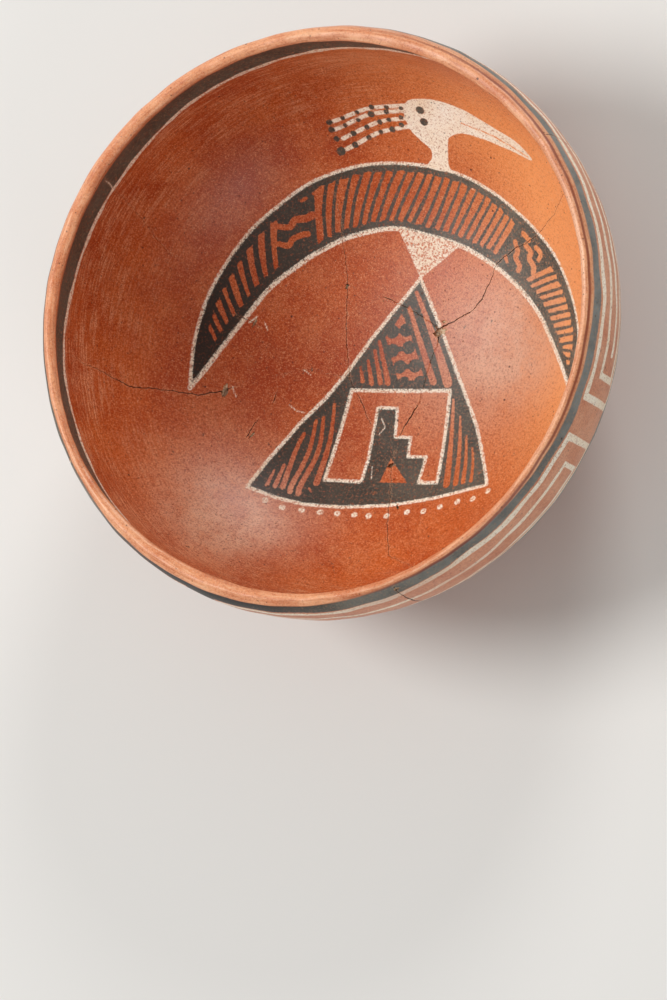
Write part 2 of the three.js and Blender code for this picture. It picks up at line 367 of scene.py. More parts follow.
# A break turns from side to side at coarse steps, and sways a little between them
BREAK_STEP = 9
WANDER = 0.55
WANDER_TURN = 2.4
FINE_STEP = 1.1
SWAY = ((9.1, 0.16), (4.3, 0.12), (2.3, 0.09))
# Half the width of the cut where the break is closed, how much wider it gets towards the surface,
# and how open a break may be and still count as closed
TIGHT = 0.008
GROOVE = 0.2
CLOSED = 0.12
# Levels of the cut's corners in half walls out from mid wall, where its widening starts and over
# how many half walls it widens
LEVELS = (-1.7, -1.03, -0.93, -0.8, -0.5, 0, 0.5, 0.8, 0.93, 1.03, 1.7)
PAST_SKIN = 1.03
GROOVE_FROM = 0.75
GROOVE_OVER = 0.28
# How far each cut runs past its ends, so that the cuts join
END_OVERLAP = 0.4
# Half the wall's thickness at shares of the way from base to lip
HALF_WALL = ((0, 3.45), (0.3, 3.1), (0.9, 3.0), (1, 2.3))

MIDDLE_RUN = lengths(middle)
MIDDLE_LENGTH = MIDDLE_RUN[-1]
MIDDLE_SLOPE = np.gradient(middle, MIDDLE_RUN, axis=0)


def wall_place(bearing, share):
    """Points in mid wall, and the directions out through the wall there."""
    along = np.clip(share, 0, 1) * MIDDLE_LENGTH
    r, z, dr, dz = (np.interp(along, MIDDLE_RUN, v) for v in (*middle.T, *MIDDLE_SLOPE.T))
    past = (share - np.clip(share, 0, 1)) * MIDDLE_LENGTH
    r, z = r + dr * past, z + dz * past
    c, s = np.cos(np.radians(bearing)), np.sin(np.radians(bearing))
    return np.stack([c * r, s * r, z], -1), np.stack([c * dz, s * dz, -dr], -1)


def half_wall(share):
    return np.interp(share, *zip(*HALF_WALL))


def break_path(places, phase):
    """The steps of a break as bearing, share, openness inside and outside, and lean."""
    rows = [(*p, 0) if len(p) == 4 else p for p in places]
    flat = np.array(
        [
            (s * math.cos(math.radians(b)), s * math.sin(math.radians(b)), lean, i, o)
            for b, s, i, o, lean in rows
        ]
    )
    coarse = []
    for a, b in zip(flat, flat[1:]):
        leg = b - a
        length = math.hypot(leg[0], leg[1])
        side = np.array([-leg[1], leg[0], 0, 0, 0]) / length
        steps = max(1, round(length * MIDDLE_LENGTH / BREAK_STEP))
        for j in range(steps):
            sway = math.sin(phase + WANDER_TURN * (len(coarse) + 1)) if j else 0
            coarse.append(a + leg * j / steps + side * sway * WANDER / MIDDLE_LENGTH)
    coarse = np.array([*coarse, flat[-1]])
    far = lengths(coarse[:, :2]) * MIDDLE_LENGTH
    even = np.linspace(0, far[-1], max(3, round(far[-1] / FINE_STEP)))
    fine = np.column_stack([np.interp(even, far, coarse[:, k]) for k in range(5)])
    ends = np.clip(np.minimum(even, even[-1] - even) / 4, 0, 1)
    sway = sum(
        size * np.sin(2 * math.pi * even / wave + rng.uniform(0, 6.3)) for wave, size in SWAY
    )
    heading = np.gradient(fine[:, :2], axis=0)
    heading /= np.linalg.norm(heading, axis=1)[:, None]
    across = np.column_stack([-heading[:, 1], heading[:, 0]])
    fine[:, :2] += across * (sway * ends / MIDDLE_LENGTH)[:, None]
    bearing = np.degrees(np.arctan2(fine[:, 1], fine[:, 0]))
    return bearing, np.hypot(fine[:, 0], fine[:, 1]), fine[:, 3], fine[:, 4], fine[:, 2]


def unit(v):
    return v / np.linalg.norm(v, axis=-1, keepdims=True)


def closed_up(corners, faces):
    """The faces turned so that they all look outwards."""
    a, b, c = (corners[faces[:, k]] for k in range(3))
    volume = np.einsum("ij,ij->i", a, np.cross(b, c)).sum()
    return faces if volume > 0 else faces[:, ::-1]


def break_strip(name, places, phase):
    """A thin strip that stands in the wall along the break, and the break's lines on both faces."""
    bearing, share, open_in, open_out, lean = break_path(places, phase)
    point, out = wall_place(bearing, share)
    half = half_wall(share)
    along = unit(np.gradient(point, axis=0))
    side = unit(np.cross(along, out))
    point[0] -= along[0] * END_OVERLAP
    point[-1] += along[-1] * END_OVERLAP
    wobble = rng.uniform(0.55, 1.25, len(point))
    n, rows = len(point), []
    for sign, levels in ((-1, LEVELS), (1, LEVELS[::-1])):
        for level in levels:
            wide = np.clip((abs(level) - GROOVE_FROM) / GROOVE_OVER, 0, 1)
            opening = open_in if level < 0 else open_out
            gap = TIGHT + GROOVE * wide**2 * np.clip(opening - CLOSED, 0, 1) * wobble
            shift = sign * gap - np.clip(level, -PAST_SKIN, PAST_SKIN) * lean
            rows.append(point + side * shift[:, None] + out * (level * half)[:, None])
    corners = np.stack(rows, 1)
    size, count = len(rows), len(LEVELS)
    faces = []
    for i in range(n - 1):
        for k in range(size):
            q = (k + 1) % size
            a, b, c, d = i * size + k, i * size + q, (i + 1) * size + k, (i + 1) * size + q
            faces += [(a, c, d), (a, d, b)] if k < count else [(a, c, b), (b, c, d)]
    for base, flip in ((0, 1), ((n - 1) * size, -1)):
        for k in range(count - 1):
            low, up = base + k, base + k + 1
            low2, up2 = base + size - 1 - k, base + size - 2 - k
            for tri in ((low, up, up2), (low, up2, low2)):
                faces.append(tri[::flip])
    corners = corners.reshape(-1, 3)
    faces = closed_up(corners, np.array(faces))
    lines = [
        point - side * (level * lean)[:, None] + out * (level * half)[:, None] for level in (-1, 1)
    ]
    return object_of(name, corners, faces), lines, (open_in, open_out)


# Losses: bearing, share, length, width, depth, turn, and 1 for the outer face. The first three are
# where a sherd edge or a piece of grit has gone; the rest are crumbs along the breaks and the lip.
LOSSES = (
    (51, 0.118, 7.0, 3.4, 1.4, 70, 0),
    (-72, 0.262, 3.6, 2.0, 1.0, 20, 0),
    (-151.5, 0.435, 6.0, 2.6, 1.1, 160, 0),
    (57, 0.14, 2.6, 1.2, 0.6, 40, 0),
    (146, 0.228, 2.8, 1.6, 0.7, 20, 0),
    (-176.2, 0.375, 5.0, 1.5, 0.7, 165, 0),
    (-66.5, 0.38, 2.4, 1.4, 0.7, 110, 0),
    (-69.5, 0.30, 2.2, 0.9, 0.5, 40, 0),
    (-134, 0.40, 4.4, 1.1, 0.7, 120, 0),
    (53, 0.985, 3.0, 2.0, 0.8, 0, 0),
    (-52.6, 0.975, 3.0, 2.0, 0.8, 0, 1),
    (-133.8, 0.985, 2.2, 1.8, 0.7, 0, 1),
)


def loss_cutter(i, bearing, share, length, width, depth, turn, outside):
    point, out = wall_place(np.array(float(bearing)), np.array(share))
    facing = Vector(out if outside else -out)
    face = Vector(point) + facing * float(half_wall(share))
    made = bmesh.new()
    bmesh.ops.create_icosphere(made, subdivisions=3, radius=1)
    upright = facing.to_track_quat("Z", "Y")
    spin = upright @ Matrix.Rotation(math.radians(turn), 3, "Z").to_quaternion()
    for v in made.verts:
        rough = 1 + 0.55 * noise.noise(v.co * 1.9 + Vector((i * 3.7, 0, 0)))
        local = Vector((v.co.x * length / 2, v.co.y * width / 2, v.co.z * depth)) * rough
        v.co = face + spin @ local
    mesh = bpy.data.meshes.new(f"loss_{i}")
    made.to_mesh(mesh)
    made.free()
    cutter = bpy.data.objects.new(mesh.name, mesh)
    bpy.context.scene.collection.objects.link(cutter)
    return cutter


def combined(base, others, operation):
    """The mesh of an object with the others joined to it or taken from it."""
    for other in others:
        step = base.modifiers.new(other.name, "BOOLEAN")
        step.operation = operation
        step.solver = "MANIFOLD"
        step.object = other
    graph = bpy.context.evaluated_depsgraph_get()
    mesh = bpy.data.meshes.new_from_object(base.evaluated_get(graph))
    for done in (base, *others):
        bpy.data.objects.remove(done)
    return mesh


def broken_pot():
    """The broken pot as corners, triangles and the lines of the breaks on the two faces."""
    strips, lines = [], []
    for i, (name, places) in enumerate(BREAKS.items()):
        strip, faces, openness = break_strip(name, places, i)
        strips.append(strip)
        lines.append((faces, openness))
    losses = [loss_cutter(i, *row) for i, row in enumerate(LOSSES)]
    cuts = combined(strips[0], [*strips[1:], *losses], "UNION")
    cutter = bpy.data.objects.new("cuts", cuts)
    bpy.context.scene.collection.objects.link(cutter)
    mesh = combined(object_of("pot", *unbroken()), [cutter], "DIFFERENCE")
    mesh.calc_loop_triangles()
    corners = np.empty(len(mesh.vertices) * 3, np.float32)
    mesh.vertices.foreach_get("co", corners)
    faces = np.empty(len(mesh.loop_triangles) * 3, np.int32)
    mesh.loop_triangles.foreach_get("vertices", faces)
    bpy.data.meshes.remove(mesh)
    return corners.reshape(-1, 3).astype(float), faces.reshape(-1, 3), lines


def islands(count, faces):
    """A number for each corner that is the same all over one loose part."""
    label = np.arange(count)
    a = np.concatenate([faces[:, 0], faces[:, 1]])
    b = np.concatenate([faces[:, 1], faces[:, 2]])
    while True:
        low = np.minimum(label[a], label[b])
        new = label.copy()
        np.minimum.at(new, label[a], low)
        np.minimum.at(new, label[b], low)
        new = new[new]
        new = new[new]
        if (new == label).all():
            return label
        label = new


# Painting: where it lies

# Outlines on the inner face are drawn on it rolled flat: the distance from the middle of the
# base, along the face, at each bearing. Millimetres.
CRESCENT_OUT = (
    (-86.5, -44), (-90, -32.5), (-93, -18.5), (-93.5, 1), (-90, 19.5), (-84, 36), (-75.5, 50),
    (-66, 62.5), (-55.5, 71.5), (-41.5, 80), (-25.5, 85.5), (-9, 88.5), (6.5, 89), (21.5, 86.5),
    (35.5, 82), (52, 75), (68.5, 65), (82.5, 51.5), (90.5, 41), (95, 32), (97, 13),
)
CRESCENT_IN = (
    (-86.5, -44), (-83.5, -33.5), (-80, -20.5), (-75.5, -6), (-68.5, 13), (-58.5, 28), (-52, 35.5),
    (-42.5, 44.5), (-31, 51.5), (-19.5, 56), (-5.5, 57), (12.5, 57), (31.5, 53), (47.5, 47),
    (63.5, 38), (78.5, 25.5), (97, 10),
)
# Red bars in the crescent: first and last bar, how many, their lean from the first to the last, the
# half share of each step that is red, and how much closer the bars come together along the row
BARS = (
    ((-86, -16), (-73, 31), 9, (12, 21), 0.24, -0.2),
    ((-53.8, 49), (35, 67), 22, (16, 18, 12, 6, 3), 0.32, 0.16),
    ((60, 57), (94, 21), 13, (14, 6), 0.3, 0.02),
)
# Half widths of the cream lines on the inner face
CRESCENT_OUT_HALF = 0.75
CRESCENT_IN_HALF = 1.05
TRIANGLE_HALF = 0.85
PANEL_HALF = 0.85
STEPS_HALF = 0.7
PLUME_HALF = 1.0
INNER_LINE_HALF = 1.0
# Width of the crescent's dark border at shares of its length
BORDER = ((0, 4), (0.2, 4.8), (0.33, 3.7), (0.64, 3.7), (0.72, 5.6), (0.85, 4.8), (1, 3.4))
# Red lines in the crescent and the triangle: width at the start and at the end, then the places
RED_LINES = (
    (2.6, 3.6, (-73, 40.5), (-68, 42), (-67, 45.5), (-62, 48), (-59.8, 50.2)),
    (2.4, 2.8, (-71, 33), (-66.5, 33.5), (-65.5, 37), (-61.5, 40.5), (-59.6, 41.2)),
    (1.4, 1.6, (-66.2, 55), (-64.4, 57)),
    (1.4, 1.4, (-61.8, 60), (-60.3, 61.6)),
    (2.6, 2.6, (45.5, 71), (49.5, 69)),
    (2.8, 2.8, (48, 66), (52, 63.5), (51, 61), (55, 57.5), (55, 55)),
    (2.6, 2.6, (41.5, 66), (44, 62), (43, 59.5), (46.5, 56), (46, 54)),
    (2.6, 2.2, (54.5, 66.5), (58, 64.5), (57, 61.5)),
    (2.2, 1.4, (37.5, 58), (39, 56)),
    (2.0, 3.4, (-4, 23), (7, 9), (18.8, -5)),
    (1.8, 4.6, (-3, 31), (12, 13.5), (26, -3.5)),
    (1.6, 2.7, (-13, 5), (-2.3, -11.5)),
    (1.5, 2.3, (-13.7, 0.6), (-5.8, -12.5)),
    (1.3, 2.3, (-15.2, -4.5), (-9.7, -13.9)),
    (1.0, 2.0, (-17.5, -8.3), (-14.2, -14.2)),
    (1.4, 3.0, (-22.7, -28), (-17.9, -44.3), (-14.7, -65.7)),
    (1.6, 2.7, (-25, -35.5), (-20.8, -51.2), (-21, -69), (-20, -73.5)),
    (1.6, 2.6, (-27.7, -38), (-24.8, -52.7), (-24.8, -70.6), (-24, -74)),
    (1.8, 2.6, (-30.4, -45.5), (-30.6, -55), (-28.3, -73.1)),
    (1.4, 2.2, (-32.6, -62.6), (-31.7, -73.9)),
    (1.0, 1.8, (-35.6, -66.5), (-35.3, -74.8)),
    (0.9, 0.9, (-16.8, -69.2), (-15, -70.8)),
    (1.2, 3.4, (31.9, -10), (38.4, -26.9), (47.1, -48.6)),
    (1.1, 2.8, (38.6, -16.5), (45.4, -31.6), (51.6, -47)),
    (1.0, 2.4, (45.8, -24.3), (51.5, -36), (55.3, -45.5)),
    (0.9, 1.9, (51.5, -28.5), (55.8, -35.8), (59.4, -44)),
)
TRIANGLE = (
    (-3, 37), (15.5, 16.5), (28, 2.5), (49, -19), (69.5, -44), (59.5, -48.5), (43.5, -56.5),
    (23.5, -65.5), (2, -73), (-15, -77.5), (-28.5, -79), (-43, -79), (-40.5, -64), (-34, -41.5),
    (-27.5, -27), (-22, -11.5), (-17, 4.5), (-10.5, 20.5),
)
PANEL = ((-17.5, -19.5), (28.5, -6.5), (41.5, -48.8), (-12, -63))
STEPS = (
    (-2.5, -23.5), (6.5, -21), (11, -34), (18.5, -32), (21, -41), (30, -38.5), (32, -50), (32, -54),
    (3, -62), (5, -59), (3.5, -49), (0.5, -37),
)
STEPS_FOOT = ((33, -50), (32, -56), (3, -64), (5, -57))
FOOT_TRIANGLE = ((13.5, -44), (13.5, -57.5), (27, -53))
BLOB_GROUND = ((-6.8, 20), (3.5, 8.5), (14.5, -5.5), (2.5, -9.8), (-3, -3), (-11, 7.7))
BLOBS = (
    (-8.5, 11), (-2.5, 13.5), (-5.5, 3), (1.5, 6.5), (0.5, -3), (7.5, -0.5), (5, -9.5), (12.5, -7),
)
BLOB_RADIUS = 3.1
BLOB_NECK_HALF = 1.1
VEE = ((-19.5, 56), (11.5, 56), (-3, 37.5))
DOTS = (
    (-32.5, -82.5), (-23.5, -83), (-14.5, -81), (-6, -79), (2, -77), (10, -75), (17, -73.5),
    (25.5, -71), (34.5, -66.5), (42.5, -64), (50, -60), (58, -55.5), (66, -52.5), (72.5, -47),
)
DOT_RADIUS = 0.9
DOT_RING_HALF = 0.55
HEAD = (
    (-22.5, 119.5), (-14.5, 123), (-3.5, 124.5), (8.5, 123.5), (24, 119.5), (41, 115.5),
    (51, 108.5), (36, 109.5), (19, 110.5), (7.5, 110), (0.5, 106.5), (-1, 103), (0, 92),
    (1.5, 88.8), (-10.5, 87.8), (-9, 92), (-9.5, 96.5), (-15.5, 100), (-21, 104), (-24.5, 112),
)
EYES = ((-16, 116, 1.9), (-14, 110, 1.8))
BEAK_SLIT = ((6.5, 115.5), (26.5, 114), (48, 109.5))
BEAK_SLIT_HALF = 0.42
PLUMES = (
    ((-22, 117), (-42, 109.5), (-54.5, 100.5), (-59, 97.5)),
    ((-22, 114), (-41, 106.5), (-53, 97), (-57.5, 93.5)),
    ((-21, 110), (-36, 104), (-48.5, 94), (-53, 90)),
    ((-20, 106), (-35.5, 98.5), (-47, 88.5), (-51, 85)),
)
PLUME_DOTS = (
    (-60.5, 96.5, 1.3), (-59, 93, 1.3), (-56, 89, 1.2), (-53, 83.5, 1.9), (-54.5, 100.5, 0.9),
    (-48, 105.5, 0.9), (-41, 110.5, 1.1), (-33.5, 112.5, 1.0), (-53, 97, 0.9), (-47, 101.5, 0.9),
    (-41, 106.5, 1.5), (-33.5, 110, 1.1), (-26, 114, 0.9), (-48.5, 94, 1.2), (-42.5, 99, 1.1),
    (-36.5, 103.5, 1.1), (-32, 106, 1.0), (-26, 109, 1.0), (-47, 88.5, 1.3), (-41, 94, 1.1),
    (-35.5, 98.5, 1.0), (-30, 101.5, 1.3), (-25.5, 105, 1.1),
)

# Loose scratches on the inner face, pale and dark: half width, then the places
PALE_MARKS = (
    (0.3, (-42, -35), (-38, -36.5), (-34, -36)), (0.25, (1, -27.5), (4.5, -31), (3, -35)),
    (0.2, (13.8, 84), (17, 83)), (0.35, (-70, -1.5), (-72.5, -5.5)), (0.3, (-66, -3), (-63.5, -6)),
    (0.3, (-69, -36), (-66, -40)), (0.25, (-38, -19), (-42, -17.5)), (0.2, (6.5, -50), (9, -56)),
    (0.28, (-170, 40.5), (-165, 39.2), (-160, 36)),
)
DARK_MARKS = (
    (0.25, (-7.5, -104.5), (-5.5, -103)), (0.25, (14.5, -104), (16.5, -104.5)),
    (0.2, (-44, -55), (-43, -56)), (0.3, (-72.5, -62), (-72, -63.5)),
    (0.3, (-81.5, -77.5), (-80.5, -78)), (0.2, (7.5, -48.5), (11, -54)),
    (0.2, (10, -45.5), (13, -50.5)), (0.2, (13, -51), (12, -56)), (0.25, (-40, -14), (-38, -17)),
    (0.25, (-26, -13), (-24.5, -15.5)), (0.3, (38, 28), (38.5, 29)), (0.3, (25, 22), (25.5, 23)),
)

# The way along which the dark paint inside turns grey, as painted light on the lit wall, and how
# deep its grey band at the lip is, a painted sheen on the band
RIGHTWARD = (0.863, 0.331, 0)
BAND_DEPTH = 22

# Levels, each as (bearing, height or distance) pairs read round the pot
INNER_LINE = (
    (-165, 167.5), (-155, 169), (-120, 169), (-60, 169), (0, 169), (48, 169.5), (66, 169),
    (82, 169.5), (100, 169), (117, 168.3), (142, 166.6), (156, 165.2), (165, 164), (172, 163.8),
    (180, 164.5), (-172, 166),
)
OUTER_LINES = {
    "first": (
        (-170, 100.6), (-146, 100.2), (-128, 98.5), (-115, 96.9), (-101, 96), (-91, 95.8),
        (-74, 96.6), (-57, 98.2), (-40, 100), (-12, 98.6), (0, 97.2), (60, 96.6), (105, 94.8),
        (125, 95.5), (155, 99),
    ),
    "second": (
        (-174, 92.9), (-153, 92.2), (-139, 90.7), (-126, 89.4), (-105, 88.7), (-86, 86.4),
        (-74, 86.8), (-56, 85.9), (-40, 87.4), (-9, 88.8), (60, 88), (105, 87), (155, 90),
    ),
    "third": ((-170, 80.2), (-150, 80.6), (-134, 81.2), (-109, 79.9), (0, 80), (90, 79)),
    "fourth": (
        (-170, 73), (-152, 72.5), (-134, 71.5), (-105, 70.6), (-87, 69.9), (-74, 67.9), (-56, 69.4),
        (-39, 72), (-12, 72), (80, 71),
    ),
    "fifth": (
        (-165, 65.5), (-149, 64.9), (-130, 64.4), (-116, 62.9), (-100, 62.6), (-92, 63.2),
        (-69, 63.2), (-55, 64.5), (-38, 67), (-12, 67), (80, 65),
    ),
    "sixth": (
        (-170, 56.8), (-144, 56), (-127, 54.3), (-112, 53), (-95, 52), (-90, 51.9), (-73, 52.4),
        (-53, 54.2), (-35, 56.3), (-12, 57), (80, 55),
    ),
}
RIM_BAND_TOP = (
    (-140, 106.4), (-124, 105.7), (-111, 104.7), (-99, 104.4), (-88, 104.8), (-74, 105.2),
    (-56, 106.2), (-38, 106.4), (-10, 105.2), (20, 104.5), (60, 103.8), (85, 102.2), (105, 100),
    (128, 100.6), (150, 103.5), (175, 105.5),
)
RIM_BAND_LOW = (
    (-167, 103), (-139, 101.3), (-124, 99.9), (-111, 99.2), (-99, 98.2), (-88, 98.5), (-74, 99.4),
    (-56, 100), (-40, 101.8), (-17, 101.4), (0, 100.2), (60, 99.6), (85, 98.4), (105, 96.8),
    (128, 97.2), (150, 100),
)
# Dark upright bars: bearing and half width in degrees, and the levels that they stand between
UPRIGHTS = ((-95.7, 3.1), (84, 3.1))
UPRIGHTS_FROM = 58
UPRIGHTS_TO = 103.5
# Panels of cream lines between the bars: from, to, and whether they have a middle line
PANELS = ((177.5, -99.9, True), (-91.2, -7.4, False), (0.8, 79.5, True), (88.5, 168.5, False))
# How far the inner frame and the middle line of a panel stop short of its ends
PANEL_INSET = 11.5
CENTRE_INSET = 21
OUTER_LINE_HALF = 1.52
# The bearings where the dark paint outside is blackest, and greyest under painted light
BLACKEST = -93
GREYEST = 15
# A small pale chip on the outside: bearing and height
CHIP_OUTSIDE = (-45.7, 60.4)
# Where the cream outside is worn thin: bearing, height, degrees wide, millimetres tall, how much
FADED = (
    (-113, 97, 12, 3.5, 0.55), (-52, 98.5, 12, 3.5, 0.5), (-42, 87, 10, 3, 0.45),
    (-160, 72.5, 7, 3, 0.75), (-124, 89.3, 3, 3, 0.8), (-70, 63.5, 9, 2, 0.4),
)
# The distance that stands for far from any paint, and for far from any break
FAR = 12.0
FAR_FROM_BREAK = 6.0
# The flat map of the inner face: the size of the map itself is true at one distance from the
# middle, and nearer than another the face is as good as flat
MAP_TRUE_AT = 40.0
FLAT_WITHIN = 4.0


def apart(bearing, centre):
    """Degrees round the pot from one bearing to another, from -180 to 180."""
    return (bearing - centre + 180) % 360 - 180


def ripples(bearing, *waves):
    """Small waves round the pot. Each: height, how many go round, and where it starts."""
    return sum(size * np.sin(np.radians(bearing * count + start)) for size, count, start in waves)


def hump(bearing, centre, spread):
    """A swelling round a bearing, 1 at its middle and 0 where it ends."""
    away = np.abs(apart(np.degrees(bearing), centre)) / spread
    return np.cos(np.clip(away, 0, 1) * math.pi / 2) ** 2


def lip_edge(bearing):
    """How far along the profile the rubbed lip starts."""
    centre, spread, much = RUBBED_LIP
    return LIP_START - much * hump(bearing, centre, spread)


def around(bearing, table):
    """A level read off a table of bearings, all the way round."""
    b, v = np.array(sorted((x % 360, y) for x, y in table)).T
    return np.interp(bearing % 360, b, v, period=360)


def even_map(r, s):
    """Radii on a map on which nothing is stretched more one way than the other, so that a distance
    is true once it is scaled by the size of the map there."""
    grow = np.concatenate([[0], np.cumsum(np.diff(s) / np.maximum((r[1:] + r[:-1]) / 2, 0.1))])
    rho = np.exp(grow)
    at = np.searchsorted(s, MAP_TRUE_AT)
    return rho * r[at] / rho[at]


INNER_RUN = lengths(inner)
flat = np.searchsorted(INNER_RUN, FLAT_WITHIN)
INNER_RHO = np.concatenate([inner[:flat, 0], even_map(inner[flat:, 0], INNER_RUN[flat:])])
MIDDLE_SCALE = inner[flat, 0] / INNER_RHO[flat]
INNER_RHO[:flat] *= INNER_RHO[flat] / inner[flat, 0]


class Face:
    """Spots on the inner face, and distances on it in millimetres, below 0 inside a shape."""

    def __init__(self, bearing, s, r):
        rho = np.interp(s, INNER_RUN, INNER_RHO)
        t = np.radians(bearing)
        self.spots = np.column_stack([rho * np.cos(t), rho * np.sin(t)])
        self.scale = np.where(s > FLAT_WITHIN, r / np.maximum(rho, 1e-6), MIDDLE_SCALE)

    def lay(self, points):
        p = np.asarray(points, float)
        s = np.hypot(p[:, 0], p[:, 1])
        rho = np.interp(s, INNER_RUN, INNER_RHO)
        return p * (rho / np.maximum(s, 1e-6))[:, None]

    def near(self, line, margin=FAR * 1.6):
        low, high = line.min(0) - margin, line.max(0) + margin
        return ((self.spots > low) & (self.spots < high)).all(1)

    def line(self, points, closed=False, widths=None, reach=FAR):
        """Distance to a line. With widths, to the edge of a stroke that widens along it."""
        laid = self.lay(points)
        near = self.near(laid, reach * 1.6)
        p = self.spots[near]
        ends = np.concatenate([laid, laid[:1]]) if closed else laid
        far = lengths(ends) / lengths(ends)[-1]
        best = np.full(len(p), 1e9)
        for i, (a, b) in enumerate(zip(ends, ends[1:])):
            leg = b - a
            t = np.clip(((p - a) @ leg) / max(leg @ leg, 1e-9), 0, 1)
            gap = np.linalg.norm(p - a - t[:, None] * leg, axis=1) * self.scale[near]
            if widths is not None:
                done = far[i] + (far[i + 1] - far[i]) * t
                gap = gap - 0.5 * (widths[0] + (widths[1] - widths[0]) * done)
            best = np.minimum(best, gap)
        out = np.full(len(self.spots), float(reach))
        out[near] = np.minimum(best, reach)
        return out

    def shape(self, points):
        laid = self.lay(points)
        near = self.near(laid)
        p = self.spots[near]
        within = np.zeros(len(p), bool)
        for a, b in zip(laid, np.roll(laid, -1, 0)):
            crosses = (a[1] > p[:, 1]) != (b[1] > p[:, 1])
            at = a[0] + (p[:, 1] - a[1]) * (b[0] - a[0]) / ((b[1] - a[1]) or 1e-9)
            within ^= crosses & (p[:, 0] < at)
        edge = self.line(points, closed=True)
        sign = np.ones(len(self.spots))
        sign[near] = np.where(within, -1, 1)
        return edge * sign

    def strokes(self, rows):
        """Strokes of even width. Each: half width, then the places."""
        return union(*(self.line(row[1:]) - row[0] for row in rows))

    def spot(self, x, y, radius):
        centre = self.lay([(x, y)])[0]
        return np.linalg.norm(self.spots - centre, axis=1) * self.scale - radius


def union(*fields):
    return np.minimum.reduce(fields)


def crescent_bars(face, out_line, in_line, body):
    """Red bars across the crescent, which stop short of its dark borders."""
    count = 160

    def evenly(line):
        far, even = lengths(line) / lengths(line)[-1], np.linspace(0, 1, count)
        return np.column_stack([np.interp(even, far, line[:, k]) for k in (0, 1)])

    spine = (evenly(out_line) + evenly(in_line)) / 2
    laid = face.lay(spine)
    far = lengths(spine)
    index = np.flatnonzero(body < 1)
    p = face.spots[index]
    gap = ((p[:, None] - laid[None]) ** 2).sum(2)
    k = np.clip(gap.argmin(1), 1, count - 2)
    leg = laid[k + 1] - laid[k - 1]
    t = ((p - laid[k - 1]) * leg).sum(1) / (leg**2).sum(1)
    along = far[k - 1] + (far[k + 1] - far[k - 1]) * t
    from_out, from_in = (face.line(line, reach=60)[index] for line in (out_line, in_line))
    share = from_in / np.maximum(from_in + from_out, 0.1)

    def place(point):
        at = face.lay([point])[0]
        return far[((laid - at) ** 2).sum(1).argmin()]

    best = np.full(len(index), FAR)
    for first, last, number, leans, red, closer in BARS:
        a, b = place(first), place(last)
        done = np.clip((along - a) / (b - a), 0, 1)
        lean = np.interp(done, np.linspace(0, 1, len(leans)), leans)
        done = (along - a - lean * (share - 0.5)) / (b - a)
        root = np.sqrt(np.maximum((1 + closer) ** 2 - 4 * closer * done, 0.01))
        u = (1 + closer - root) / (2 * closer) * (number - 1)
        step = (b - a) / (number - 1) * root
        whole_u = np.clip(np.round(u), 0, number - 1)
        wide = red + 0.04 * np.sin(whole_u * 2.7 + a) + 0.1 * (share - 0.5)
        wide = wide + 0.02 * np.sin(share * 9 + whole_u * 4)
        best = np.minimum(best, (abs(u - whole_u) - wide) * step)
    border = np.interp(along / far[-1], *zip(*BORDER)) + 0.35 * np.sin(along * 0.9)
    best = np.maximum(best, np.maximum(border - from_out, border - from_in))
    out = np.full(len(face.spots), FAR)
    out[index] = best
    return out


